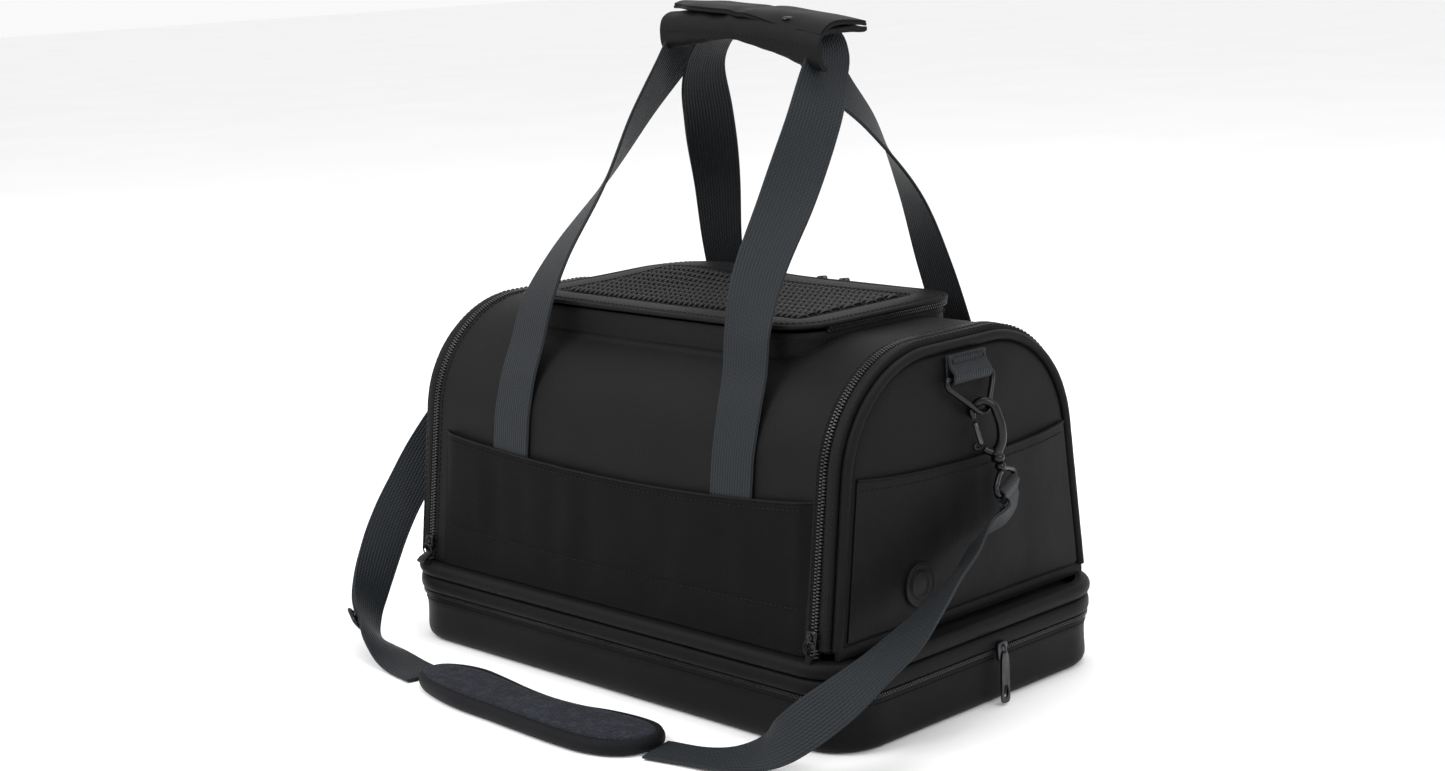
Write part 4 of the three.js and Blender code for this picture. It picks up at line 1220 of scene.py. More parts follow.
class CARRIER_OT_cabin(bpy.types.Operator):
    """One padded shell from the front foot over the roof to the back foot, open under the lid"""

    bl_idname = "carrier.cabin"
    bl_label = "Cabin shell"

    def execute(self, context):
        line = arch(0, WALL_FOOT, ARCH_COUNT)
        along = tangents(line)
        out = np.column_stack([-along[:, 1], along[:, 0]])
        half = WALL[1].x
        xs = np.linspace(-half, half, 108)
        grid = np.zeros((len(xs), len(line), 3))
        for i, x in enumerate(xs):
            for j, (y, z) in enumerate(line):
                d = cabin_swell(x, y, z)
                grid[i, j] = (x, y + out[j, 0] * d, z + out[j, 1] * d)
        shell = self.open_roof(grid)
        thick = shell.modifiers.new("foam", "SOLIDIFY")
        thick.thickness = sizes().foam
        thick.offset = -1
        apply_modifiers(shell)
        settle(
            shell, "cabin", "nylon_body", "front_panel", "back_panel", "roof_left_panel",
            "roof_right_panel", fill=0.8
        )
        for side in (-1, 1):
            self.sill(side)
        self.edge_tape()
        return {"FINISHED"}

    def open_roof(self, grid):
        """The shell's outer skin with a rounded opening in its roof."""
        rows, cols = grid.shape[:2]
        flat = grid.reshape(-1, 3).copy()
        half_x, half_y, r = LID[1].x + 0.3 * MM, LID[1].y + 0.3 * MM, LID_R

        def inside(p):
            if p[2] < 0.2:
                return -1.0
            qx, qy = abs(p[0]) - (half_x - r), abs(p[1]) - (half_y - r)
            return r - math.hypot(max(qx, 0), max(qy, 0)) - min(max(qx, qy), 0)

        depth = np.array([inside(p) for p in flat])
        faces = []
        for i in range(rows - 1):
            for j in range(cols - 1):
                quad = (i * cols + j, (i + 1) * cols + j, (i + 1) * cols + j + 1, i * cols + j + 1)
                if min(depth[list(quad)]) < 0:
                    faces.append(quad)
        used = {v for f in faces for v in f}
        for v in used:
            if depth[v] > 0:
                p = flat[v]
                core = np.array(
                    [np.clip(p[0], r - half_x, half_x - r), np.clip(p[1], r - half_y, half_y - r)]
                )
                away = p[:2] - core
                if np.linalg.norm(away) < 1e-6:
                    away = np.array([0, math.copysign(1, p[1])])
                flat[v, :2] = core + unit(away) * r
        order = {v: k for k, v in enumerate(sorted(used))}
        verts = [flat[v] for v in sorted(used)]
        across = run_length(grid[0])
        xs = grid[:, 0, 0]
        uvs = [(across[v % cols], xs[v // cols]) for f in faces for v in f]
        faces = [tuple(order[v] for v in f) for f in faces]
        shell = make_mesh("cabin_shell", verts, faces, finish("body cloth"), uvs, sharp=70)
        if shell.data.polygons[0].normal.y > 0:
            shell.data.flip_normals()
        return shell

    def sill(self, side):
        """Turned edge of cloth that the door folds on."""
        label = "right" if side > 0 else "left"
        low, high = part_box(f"{label}_sill")
        cx = (low.x + high.x) / 2
        ys = np.linspace(low.y, high.y, 60)
        half_x, half_z = (high.x - low.x) / 2, (high.z - low.z) / 2
        rows = []
        for y in ys:
            wave = 0.25 * MM * ripple(cx, y, 0, 0.03, 6.0)
            ring = []
            for a in np.arange(12) * TAU / 12:
                cos, sin = math.cos(a), math.sin(a)
                ring.append(
                    (
                        cx + wave + half_x * signed_power(cos, 0.5), y,
                        (low.z + high.z) / 2 + half_z * signed_power(sin, 0.5)
                    )
                )
            rows.append(ring)
        settle(
            loft(f"{label}_sill_cloth", rows, finish("trim cloth")), "cabin", "nylon_body", f"{label}_sill"
        )

    def edge_tape(self):
        """Seam stitching beside each door zip and along the foot of the walls."""
        sewn = []
        line = arch(-0.2 * MM, WALL_FOOT + 2 * MM, 260)
        along = tangents(line)
        out = np.column_stack([np.zeros(len(line)), -along[:, 1], along[:, 0]])
        for side in (-1, 1):
            x = side * (WALL[1].x - 2.6 * MM)
            sewn += stitch_parts(np.column_stack([np.full(len(line), x), line]), out)
        for side in (-1, 1):
            foot = [
                wall_face(x, WALL_FOOT + 4 * MM, side, 0.15 * MM)
                for x in np.linspace(-SEAM_HALF, SEAM_HALF, 120)
            ]
            sewn += stitch_parts(foot, (0, side, 0.1))
        sew("cabin_stitching", sewn, "cabin", "nylon_body")


def apply_modifiers(obj):
    """Turns an object's modifiers into plain mesh."""
    graph = bpy.context.evaluated_depsgraph_get()
    graph.update()
    data = bpy.data.meshes.new_from_object(obj.evaluated_get(graph))
    old = obj.data
    obj.modifiers.clear()
    obj.data = data
    bpy.data.meshes.remove(old)


class CARRIER_OT_front_pocket(bpy.types.Operator):
    """Slack cloth pocket across the front wall, with a hemmed top edge that tucks over the handles"""

    bl_idname = "carrier.front_pocket"
    bl_label = "Front pocket"

    def execute(self, context):
        low, high = POCKET
        xs = np.linspace(low.x - 3 * MM, high.x + 3 * MM, 130)
        rows = []
        for t in np.linspace(0, 1, 34):
            rows.append([self.face(x, t, high.z) for x in xs])
        # The pocket's cloth is darkened as painted shade.
        pocket = cloth_shell("front_pocket_cloth", rows, 0.9 * MM, finish("pocket cloth with painted shade"), sharp=70)
        settle(pocket, "cabin", "nylon_body", "front_pocket")
        edge = [Vector(self.face(x, 1, high.z)) for x in xs]
        hem = gather(
            "front_pocket_hem",
            [tube_parts([tuple(p + Vector((0, -0.2 * MM, -0.6 * MM))) for p in edge], 0.8 * MM, 8)],
            finish("trim cloth")
        )
        settle(hem, "cabin", "nylon_body")
        sewn = []
        for drop in (0.055, 0.7):
            line = [np.array(self.face(x, 1 - drop, high.z)) + (0, -0.2 * MM, 0) for x in xs[3:-3]]
            sewn += stitch_parts(line, (0, -1, 0.1))
        sew("front_pocket_stitching", sewn, "cabin", "nylon_body")
        return {"FINISHED"}

    def face(self, x, t, top):
        """Place on the pocket's front: t runs from its foot to its top edge."""
        low, high = POCKET
        along = (x - low.x) / (high.x - low.x)
        end = min(ease((along + 0.008) / 0.035), ease((1.008 - along) / 0.035))
        sag = 10 * MM * math.sin(math.pi * along) ** 0.8 if 0 < along < 1 else 0.0
        z = WALL_FOOT + 0.4 * MM + (top + 2 * MM - sag - WALL_FOOT) * t
        slack = sizes().pocket_slack * t ** 1.5 * (0.75 + 0.25 * ripple(x, 0, 0, 0.07, 2.2))
        folds = 2.3 * MM * ripple(x * 1.2, 0, z * 0.3, 0.03, 7.7) * math.sin(math.pi * min(t, 0.97)) ** 0.6
        seam = -0.8 * MM * math.exp(-((t - 0.3) / 0.018) ** 2)
        lift = max(1.6 * MM + slack + folds + seam, 1.3 * MM) * end - 0.4 * MM
        return wall_face(x, z, -1, lift)


# ---------------------------------------------------------------- end doors
def door_crown(y, z):
    """How far a padded door swells at a place on it, from 0 at its edge to 1."""
    half = max(wall_y(z) - 10 * MM, 1 * MM)
    if z > ROOF_Z - SHOULDER_R:
        drop = min((z - (ROOF_Z - SHOULDER_R)) / SHOULDER_R, 0.999)
        half -= SHOULDER_R * (1 - math.sqrt(1 - drop * drop))
    across = min(abs(y) / max(half, 1 * MM), 1)
    up = (z - DOOR[0].z) / (DOOR[1].z - DOOR[0].z)
    up = min(max(up, 0), 1)
    return (1 - across ** 4) * (1 - (2 * up - 1) ** 6)


def door_face(side, y, z, lift=0.0):
    """Point on the outside of an end door."""
    s = sizes()
    wrinkles = s.wrinkle * 0.6 * (
        ripple(side, y, z * 1.5, 0.05, 3.3) + 0.5 * ripple(side, y * 1.5, z, 0.022, 4.6)
    )
    crown = door_crown(y, z)
    x = DOOR[1].x - 1 * MM + s.crown * crown + wrinkles * min(crown * 2, 1) + lift
    return (side * x, y, z)


class CARRIER_OT_doors(bpy.types.Operator):
    """End doors: edge band, piping, padded panel, flat pocket and the round badge"""

    bl_idname = "carrier.doors"
    bl_label = "End doors"

    def execute(self, context):
        for side, label in ((1, "right"), (-1, "left")):
            self.band(side, label)
            self.piping(side, label)
            self.panel(side, label)
            self.pocket(side, label)
        self.badge()
        return {"FINISHED"}

    def band(self, side, label):
        """Edge band between the zip and the piping, slightly crowned."""
        x0, x1 = GUSSET[0].x, GUSSET[1].x
        line_count = 130
        foot = GUSSET[0].z - 2.5 * MM
        outer, inner = arch(0, foot, line_count), arch(sizes().foam, foot, line_count)
        along = tangents(outer)
        out = np.column_stack([-along[:, 1], along[:, 0]])
        rows = []
        for j in range(line_count):
            wave = 0.35 * MM * ripple(x0, outer[j, 0], outer[j, 1], 0.03, 1.1)
            ring = []
            for t in (0, 0.12, 0.3, 0.5, 0.7, 0.88, 1):
                rise = (0.9 * MM + wave) * math.sin(math.pi * t) ** 0.6 if 0 < t < 1 else -0.5 * MM
                y, z = outer[j] + out[j] * rise
                ring.append((side * (x0 + (x1 - x0) * t), y, z))
            ring += [(side * x1, *inner[j]), (side * x0, *inner[j])]
            rows.append(ring)
        band = loft(f"{label}_door_band", rows, finish("body cloth"), sharp=60)
        settle(band, f"{label}_door", "nylon_body", f"{label}_door_gusset")
        sewn = []
        for share in (0.16, 0.86):
            line = [
                (side * (x0 + (x1 - x0) * share), *(p + o * 0.6 * MM))
                for p, o in zip(outer[1:-1], out[1:-1])
            ]
            sewn += stitch_parts(line, np.column_stack([np.zeros(line_count - 2), out[1:-1]]))
        sew(f"{label}_door_stitching", sewn, f"{label}_door", "nylon_body")

    def piping(self, side, label):
        """Corded piping round the door's arch."""
        radius = 3.4 * MM
        line = arch(6 * MM, DOOR_EDGE[0].z - 2.5 * MM, 150)
        x = side * (DOOR_EDGE[1].x - radius)
        points = np.column_stack([np.full(len(line), x), line])
        radii = np.array([radius + 0.12 * MM * ripple(x, y, z, 0.006, 8.0) for y, z in line])
        piping = gather(
            f"{label}_door_cord", [tube_parts(points, radii, 14, up=(1, 0, 0))], finish("trim cloth")
        )
        settle(piping, f"{label}_door", "nylon_body", f"{label}_door_piping")

    def panel(self, side, label):
        """Padded door face, drawn in to its seam all round."""
        foot = DOOR[0].z - 2.5 * MM
        edge = arch(10.2 * MM, foot, 150)
        base = np.column_stack([np.linspace(edge[-1, 0], edge[0, 0], 70)[1:-1], np.full(68, foot)])
        loop = np.vstack([edge, base])
        seat = arch(3.4 * MM, foot, 150)
        seat_base = np.column_stack([np.linspace(seat[-1, 0], seat[0, 0], 70)[1:-1], np.full(68, foot)])
        lining = np.vstack([seat, seat_base])
        centre = np.array([0.0, (DOOR[0].z + DOOR[1].z) / 2])
        rows = []
        back = GUSSET[1].x - 2.8 * MM
        rows.append([(side * back, *(centre + (p - centre) * 0.3)) for p in lining])
        rows.append([(side * back, *p) for p in centre + (lining - centre) * 0.985])
        rows.append([(side * (back + 1.5 * MM), *p) for p in lining])
        rows.append([(side * (DOOR[1].x - 3 * MM), *p) for p in loop])
        for share in (
            0.992, 0.975, 0.95, 0.92, 0.88, 0.83, 0.77, 0.7, 0.63, 0.56, 0.49, 0.42, 0.35, 0.28, 0.21, 0.14,
            0.07
        ):
            ring = []
            for p in centre + (loop - centre) * share:
                roll = -1.4 * MM * math.exp(-((1 - share) / 0.018))
                ring.append(door_face(side, p[0], p[1], roll))
            rows.append(ring)
        panel = loft(f"{label}_door_padding", rows, finish("body cloth"), sharp=70)
        flat_uvs(panel)
        settle(panel, f"{label}_door", "nylon_body", f"{label}_door_panel", fill=0.75)

    def pocket(self, side, label):
        """Flat pocket over the lower part of the door, its top edge sagging a little."""
        low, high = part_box(f"{label}_door_pocket")
        rows = []
        for t in np.linspace(0, 1, 36):
            row = []
            for k in np.linspace(-1, 1, 90):
                row.append(self.pocket_face(side, k, t, low.z, high.z))
            rows.append(row)
        pocket = cloth_shell(
            f"{label}_door_pocket_cloth", rows, 0.8 * MM * side, finish("body cloth"), sharp=70
        )
        settle(pocket, f"{label}_door", "nylon_body", f"{label}_door_pocket")
        edge = [self.pocket_face(side, k, 1, low.z, high.z) for k in np.linspace(-1, 1, 90)]
        points = [(x + side * 0.1 * MM, y, z - 0.7 * MM) for x, y, z in edge]
        parts = [tube_parts(points, 1.0 * MM, 8)]
        settle(
            gather(f"{label}_door_pocket_hem", parts, finish("trim cloth")), f"{label}_door", "nylon_body"
        )
        line = [
            np.array(self.pocket_face(side, k, 0.93, low.z, high.z)) + (side * 0.15 * MM, 0, 0)
            for k in np.linspace(-0.97, 0.97, 90)
        ]
        sewn = stitch_parts(line, (side, 0, 0))
        sew(f"{label}_door_pocket_stitching", sewn, f"{label}_door", "nylon_body")

    def pocket_face(self, side, k, t, foot, top):
        """Place on a door pocket: k runs across it from -1 to 1 and t up it from 0 to 1."""
        z = foot + (top + 3 * MM - 6 * MM * (1 - k * k) - foot) * t
        y = k * (wall_y(z) - 12.5 * MM * SLOPE)
        edge = 1 - k ** 8
        slack = 1.4 * MM * t ** 2 * edge
        folds = 0.6 * MM * ripple(side * 2, y, z * 0.4, 0.028, 6.6) * edge
        return door_face(side, y, z, 1.2 * MM + slack + folds)

    def badge(self):
        """Plain round badge of raised rings."""
        low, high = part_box("right_badge")
        cy, cz = (low.y + high.y) / 2, (low.z + high.z) / 2
        x = door_face(1, cy, cz, 2.1 * MM)[0]
        rows = []
        profile = [
            (0.4, 0.0), (14.6, 0.0), (15, 0.5), (15, 1.1), (14.4, 1.7), (13.2, 1.8), (12.4, 1.3),
            (11.6, 0.7), (10.4, 0.6), (9.6, 0.8), (9, 1.4), (8.2, 1.6), (7.4, 1.4), (6.9, 0.8), (6, 0.7),
            (3, 0.85), (0.4, 0.9)
        ]
        for r, h in profile:
            rows.append(
                [
                    (x + (h - 0.8) * MM, cy + r * MM * math.cos(a), cz + r * MM * math.sin(a))
                    for a in np.arange(64) * TAU / 64
                ]
            )
        badge = loft("right_badge_disc", rows, finish("rubber"), sharp=40)
        settle(badge, "right_door", "badge", "right_badge")


def flat_uvs(obj):
    """Lays the cloth's threads along y and z on a piece that faces along x."""
    layer = obj.data.uv_layers[0]
    for loop in obj.data.loops:
        p = obj.data.vertices[loop.vertex_index].co
        layer.data[loop.index].uv = (p.y, p.z)


class CARRIER_OT_door_zips(bpy.types.Operator):
    """The zip round each door, its slider, wire ring and cloth pull"""

    bl_idname = "carrier.door_zips"
    bl_label = "Door zips"

    def execute(self, context):
        x0, x1 = DOOR_ZIP[0].x, DOOR_ZIP[1].x
        middle = (x0 + x1) / 2
        for side, label in ((1, "right"), (-1, "left")):
            outer, inner = arch(1.3 * MM, WALL_FOOT, 150), arch(3 * MM, WALL_FOOT, 150)
            rows = []
            for o, i in zip(outer, inner):
                rows.append([(side * x0, *o), (side * x1, *o), (side * x1, *i), (side * x0, *i)])
            tape = loft(f"{label}_door_zip_tape", rows, finish("zip tape"))
            settle(tape, "cabin", "zip_coil", f"{label}_zip_coil")
            line = arch(1.3 * MM, WALL_FOOT + 1 * MM, 400)
            along = tangents(line)
            up = np.column_stack([np.zeros(len(line)), -along[:, 1], along[:, 0]])
            points = np.column_stack([np.full(len(line), side * middle), line])
            across = np.tile((1.0, 0.0, 0.0), (len(line), 1))
            teeth = gather(
                f"{label}_door_zip_teeth",
                zip_parts(points, across, up, sizes().tooth_pitch, 2.6 * MM, 2.6 * MM), finish("zip teeth")
            )
            settle(teeth, "cabin", "zip_coil")
            self.slider(side, label, side * middle)
        return {"FINISHED"}

    def slider(self, side, label, x):
        """Slider body with a bridge, a thin wire ring through it and a short cloth pull."""
        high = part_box(f"{label}_zip_slider")[1]
        z = high.z - 6 * MM
        y = high.y - 1.0 * MM
        place = place_matrix((x, y, z), (1, 0, 0), (0, LEAN, 1))
        wing, neck, tall = 4 * MM, 2.8 * MM, 5.6 * MM
        parts = [slider_plate(place, wing, neck, tall, 0.8 * MM, 41, 0.6 * MM)]
        bridge = [
            (x, y - d * MM, z + h * MM)
            for d, h in ((0.8, 4.2), (2.6, 3.6), (3.2, 1.0), (2.6, -1.6), (0.8, -2.2))
        ]
        parts.append(tube_parts(smooth_line(bridge, 14), 0.75 * MM, 8, up=(1, 0, 0)))
        centre = np.array([x, y - 2.6 * MM, z - 5.4 * MM])
        ring = [
            centre + 5.2 * MM * np.array([math.cos(a), -0.12 * math.sin(a), math.sin(a)])
            for a in np.arange(32) * TAU / 32
        ]
        parts.append(tube_parts(ring, 0.6 * MM, 8, closed=True, up=(0, 1, 0)))
        body = gather(f"{label}_zip_slider_body", parts, finish("enamel"))
        settle(body, f"{label}_slider", "metal_grey", f"{label}_zip_slider")
        hang = [
            (x + side * d * MM, y - 3.4 * MM - k * MM, z - 9.6 * MM - h * MM)
            for d, k, h in ((0, 0, 0), (-0.6, 0.6, 4), (-1.6, 0.9, 8), (-2.2, 0.4, 12))
        ]
        route = [(*p, 1.0, 0.1, 0.0) for p in hang]
        grid, *_ = strap_grid(route, 5.2 * MM, 1.5 * MM, 16)
        settle(
            loft(f"{label}_zip_slider_pull", grid, finish("trim cloth")), f"{label}_slider", "metal_grey"
        )


# ---------------------------------------------------------------- roof opening and lid
def lid_loop(grow, z, count=260, sag=0.0, seed=0.0):
    """Lid-shaped ring, grown out from the lid's edge."""
    half_x, half_y = LID[1].x + grow, LID[1].y + grow
    points = round_rect(half_x, half_y, max(LID_R + grow, 4 * MM), count)
    heights = [z + lid_rise(x, y) + sag * ripple(x, y, 0, 0.04, seed) for x, y in points]
    return np.column_stack([points, heights])


def lid_rise(x, y):
    """The lid's back edge arches up towards the left, and its middle lies a little lower."""
    back = ease((y + 0.02) / 0.1)
    left = math.exp(-((x + 0.085) / 0.05) ** 2)
    return 5.0 * MM * back * left - 0.8 * MM * (1 - min(abs(x) / LID[1].x, 1) ** 2) * (1 - back)


class CARRIER_OT_roof(bpy.types.Operator):
    """Roof rim, zip on three sides and the mesh lid"""

    bl_idname = "carrier.roof"
    bl_label = "Roof rim and lid"

    def execute(self, context):
        self.rim()
        self.zip()
        self.border()
        self.net()
        for letter in ("a", "b"):
            self.slider(letter)
        return {"FINISHED"}

    def rim(self):
        """Upright band of cloth round the opening."""
        low, high = RIM[0].z, RIM[1].z
        rows = []
        for inset, z in (
            (-0.1, low), (-0.05, low + 5 * MM), (0.1, high - 6 * MM), (-0.1, high - 2 * MM), (0.8, high),
            (3.2, high), (3.9, high - 3 * MM), (3.8, low)
        ):
            points = round_rect(
                LID[1].x - inset * MM - 0.3 * MM, LID[1].y - inset * MM - 0.3 * MM, LID_R - inset * MM, 240
            )
            rows.append(np.column_stack([points, np.full(len(points), z)]))
        rim = loft("roof_rim", rows, finish("body cloth"), close_rows=True, caps=False, sharp=60)
        settle(rim, "cabin", "nylon_body", "roof_collar")
        line = round_rect(LID[1].x + 0.5 * MM, LID[1].y + 0.5 * MM, LID_R + 0.5 * MM, 300)
        points = np.column_stack([line, np.full(len(line), high - 4.5 * MM)])
        out = np.column_stack([corner_out(points, LID[1].x, LID[1].y, LID_R), np.zeros(len(points))])
        sewn = stitch_parts(np.vstack([points, points[:1]]), out)
        sew("roof_rim_stitching", sewn, "cabin", "nylon_body")

    def zip(self):
        """Coil zip along the left, back and right of the lid."""
        low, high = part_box("roof_zip_coil")
        z = (low.z + high.z) / 2
        loop = round_rect(LID[1].x + 0.4 * MM, LID[1].y + 0.4 * MM, LID_R, 500)
        front = -LID[1].y + 24 * MM
        keep = [p for p in loop if p[1] > front]
        right = [p for p in keep if p[0] > 0 and p[1] < 0]
        rest = [p for p in keep if not (p[0] > 0 and p[1] < 0)]
        line = np.array(right + rest)
        points = np.column_stack([line, [z + lid_rise(x, y) * 0.5 for x, y in line]])
        out = np.column_stack([corner_out(points, LID[1].x, LID[1].y, LID_R), np.zeros(len(points))])
        up = np.tile((0.0, 0.0, 1.0), (len(points), 1))
        teeth = gather(
            "roof_zip_teeth", zip_parts(points, up, out, sizes().tooth_pitch, 1.9 * MM, 2.0 * MM),
            finish("zip teeth")
        )
        settle(teeth, "cabin", "zip_coil")
        rows = [
            [
                p - o * 3.6 * MM + (0, 0, h) for o, h in ((o, -1.5 * MM), (o, 1.5 * MM))
            ] + [p + (0, 0, 1.5 * MM), p + (0, 0, -1.5 * MM)]
            for p, o in zip(points, out)
        ]
        settle(loft("roof_zip_tape", rows, finish("zip tape")), "cabin", "zip_coil", "roof_zip_coil")

    def border(self):
        """Padded border of the lid and the piping round it."""
        z0, z1 = LID[0].z, LID[1].z
        inner = -LID_BORDER
        profile = [
            (-1.2 * MM, z0), (-0.1 * MM, z0 + 0.6 * MM), (0, z0 + 1.6 * MM), (-0.6 * MM, z1 - 0.4 * MM),
            (-3 * MM, z1 + 0.3 * MM), (-8 * MM, z1 + 0.9 * MM), (-14 * MM, z1 + 1.0 * MM),
            (-20 * MM, z1 + 0.7 * MM), (-24 * MM, z1), (inner, z1 - 0.9 * MM), (inner, z0 + 0.2 * MM),
            (-20 * MM, z0), (-8 * MM, z0)
        ]
        rows = [lid_loop(grow, z, sag=0.35 * MM, seed=3.9) for grow, z in profile]
        border = loft("lid_border", rows, finish("body cloth"), close_rows=True, caps=False, sharp=60)
        settle(border, "roof_lid", "nylon_body", "lid_frame", fill=0.5)
        centre = (LID_EDGE[0].z + LID_EDGE[1].z) / 2
        ring = []
        for a in np.arange(14) * TAU / 14:
            ring.append(
                lid_loop(
                    1.6 * MM * (1 + math.cos(a)), centre + 1.6 * MM * math.sin(a), sag=0.15 * MM, seed=1.2
                )
            )
        piping = loft("lid_cord", ring, finish("trim cloth"), close_rows=True, caps=False)
        settle(piping, "roof_lid", "nylon_body", "lid_piping")
        sewn = []
        for grow in (-3.4 * MM, -LID_BORDER + 3 * MM):
            line = lid_loop(grow, z1 + 0.35 * MM, sag=0.35 * MM, seed=3.9)
            sewn += stitch_parts(np.vstack([line, line[:1]]), (0, 0, 1))
        sew("lid_stitching", sewn, "roof_lid", "nylon_body")

    def net(self):
        """Air mesh: a knitted ground with rows of raised slanting bars."""
        low, high = NET
        z = (low.z + high.z) / 2
        rows = []
        for scale in (1.0, 0.9, 0.75, 0.6, 0.45, 0.3, 0.15, 0.03):
            points = round_rect((high.x + 1 * MM) * scale, (high.y + 1 * MM) * scale, 3 * MM * scale, 160)
            rows.append([(x, y, z + 0.3 * MM + lid_rise(x, y)) for x, y in points])
        under = [[(x, y, h - 0.8 * MM) for x, y, h in row] for row in rows]
        ground = loft("lid_net", rows[::-1] + under, finish("air mesh with painted shade"), caps=True, sharp=80)
        settle(ground, "roof_lid", "mesh", "lid_mesh")
        bars = []
        pitch_x, pitch_y = 5.2 * MM, 11.4 * MM
        count_y = int(high.y / pitch_y)
        count_x = int(high.x / pitch_x)
        for j in range(-count_y, count_y + 1):
            for i in range(-count_x, count_x + 1):
                x, y = i * pitch_x + (j % 2) * pitch_x / 2, j * pitch_y
                if abs(x) > high.x - 4 * MM or abs(y) > high.y - 5 * MM:
                    continue
                a, b = (x - 1.2 * MM, y - 4.4 * MM), (x + 1.2 * MM, y + 4.4 * MM)
                line = [(a[0] + (b[0] - a[0]) * t, a[1] + (b[1] - a[1]) * t) for t in (0, 0.3, 0.7, 1)]
                lift = (0.4, 1.8, 1.8, 0.4)
                points = [(px, py, z + lid_rise(px, py) + h * MM) for (px, py), h in zip(line, lift)]
                bars.append(tube_parts(points, [0.7 * MM, 1.3 * MM, 1.3 * MM, 0.7 * MM], 6)[:2])
        settle(gather("lid_net_bars", bars, finish("mesh bars with painted light")), "roof_lid", "mesh")

    def slider(self, letter):
        """Roof zip slider and its pull."""
        low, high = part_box(f"roof_zip_slider_{letter}")
        centre = (low + high) / 2
        place = place_matrix(centre, (0, 0, 1), (1, 0, 0))
        wing, neck, tall = 3.5 * MM, 2.4 * MM, 4.5 * MM
        parts = [slider_plate(place, wing, neck, tall, 0, 31, 0.5 * MM)]
        loop = [
            (centre.x + h * MM, high.y + d * MM, centre.z)
            for d, h in ((-0.6, 3.0), (1.4, 2.4), (1.7, 0), (1.4, -2.4), (-0.6, -3.0))
        ]
        parts.append(tube_parts(smooth_line(loop, 14), 0.65 * MM, 8, up=(0, 0, 1)))
        settle(
            gather(f"roof_slider_{letter}_body", parts, finish("plated metal")), f"roof_slider_{letter}",
            "metal_grey", f"roof_zip_slider_{letter}"
        )
        low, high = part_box(f"roof_zip_pull_{letter}")
        centre = (low + high) / 2
        route = [
            (centre.x, centre.y + d * MM, z, 1, 0, 0)
            for d, z in ((0, high.z), (0.3, high.z - 4 * MM), (0.2, low.z + 5 * MM), (0, low.z))
        ]
        grid, *_ = strap_grid(route, high.x - low.x, 1.4 * MM, 14)
        settle(
            loft(f"roof_pull_{letter}_cloth", grid, finish("trim cloth")), f"roof_pull_{letter}",
            "nylon_body", f"roof_zip_pull_{letter}"
        )


# ---------------------------------------------------------------- carrying handles
GRIP_Z_MID = FLAP[0].z - 17.45 * MM
GRIP_TUCK = 9 * MM
HANDLE_X = 0.1
HANDLE_BEND_Z = 0.187


class CARRIER_OT_handles(bpy.types.Operator):
    """The two carrying handles, sewn flat on the walls and turned edge-on into the grip"""

    bl_idname = "carrier.handles"
    bl_label = "Carrying handles"

    def execute(self, context):
        top = GRIP_Z_MID + 11 * MM
        self.handle("front", -1, -1, FRONT_LEG, top)
        self.handle("back", 1, 1, BACK_LEG, GRIP_Z_MID - 1 * MM)
        return {"FINISHED"}

    def handle(self, label, side, turn, legs, top):
        """One loop of webbing from foot to foot; the back handle also gets a sewn box on each foot."""
        s = sizes()
        foot_z = (147 if side < 0 else 151) * MM
        lift = s.handle_thick / 2 + 0.5 * MM
        foot = []
        for z in (foot_z, 160 * MM, 170 * MM, 179 * MM):
            foot.append((z, wall_face(HANDLE_X, z, side, lift)))
        rising, falling = [], []
        for z, p in foot:
            rising.append((HANDLE_SHIFT - legs[0][0], p[1], p[2], 1, 0, 0))
            falling.append((HANDLE_SHIFT + legs[0][0], p[1], p[2], -1, 0, 0))
        for x, y, z, twist in legs[1:]:
            angle = twist * math.pi / 2
            share = ease((z - 380 * MM) / (60 * MM))
            x -= GRIP_TUCK * share if side < 0 else 0
            for out, way, line in ((-x, 1, rising), (x, -1, falling)):
                tilt = grip_tilt(HANDLE_SHIFT + out) * share
                line.append(
                    (HANDLE_SHIFT + out, y, z + tilt, way * math.cos(angle), turn * math.sin(angle), 0)
                )
        middle = [HANDLE_SHIFT + x * MM for x in (-40, 0, 40)]
        across = [(x, GRIP_Y, top + grip_tilt(x), 0, turn, 0) for x in middle]
        grid, *_ = strap_grid(
            rising + across + falling[::-1], s.handle_width, s.handle_thick, 220
        )
        # The back handle takes the webbing darkened as painted shade.
        band = loft(f"{label}_handle_band", grid, finish("webbing" if label == "front" else "back webbing with painted shade"))
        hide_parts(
            f"{label}_handle_webbing", f"{label}_handle_foot_left", f"{label}_handle_foot_right"
        )
        y = wall_face(HANDLE_X, HANDLE_BEND_Z, side, lift)[1]
        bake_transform(band)
        if side > 0:
            self.sewing(label, side, legs[0][0])

    def sewing(self, label, side, spread):
        """Sewn box and cross on each of the feet that no pocket covers."""
        s = sizes()
        half = s.handle_width / 2 - 4 * MM
        corners = [(-half, 160 * MM), (half, 160 * MM), (half, 181.5 * MM), (-half, 181.5 * MM)]
        runs = [(corners[i], corners[(i + 1) % 4]) for i in range(4)]
        runs += [(corners[0], corners[2]), (corners[1], corners[3])]
        sewn = []
        for middle in (HANDLE_SHIFT - spread, HANDLE_SHIFT + spread):
            for (x0, z0), (x1, z1) in runs:
                line = []
                for t in np.linspace(0, 1, 12):
                    z = z0 + (z1 - z0) * t
                    y = wall_face(HANDLE_X, z, side, s.handle_thick + 0.55 * MM)[1]
                    line.append((middle + x0 + (x1 - x0) * t, y, z))
                sewn += stitch_parts(line, (0, side, LEAN))
        sew(f"{label}_handle_stitching", sewn, "cabin", "webbing")


def grip_tilt(x):
    """The grip hangs lower towards its right end."""
    share = min(max((x - GRIP[0].x) / (GRIP[1].x - GRIP[0].x), 0), 1.06)
    return 1.5 * MM - 11.5 * MM * share ** 2.2


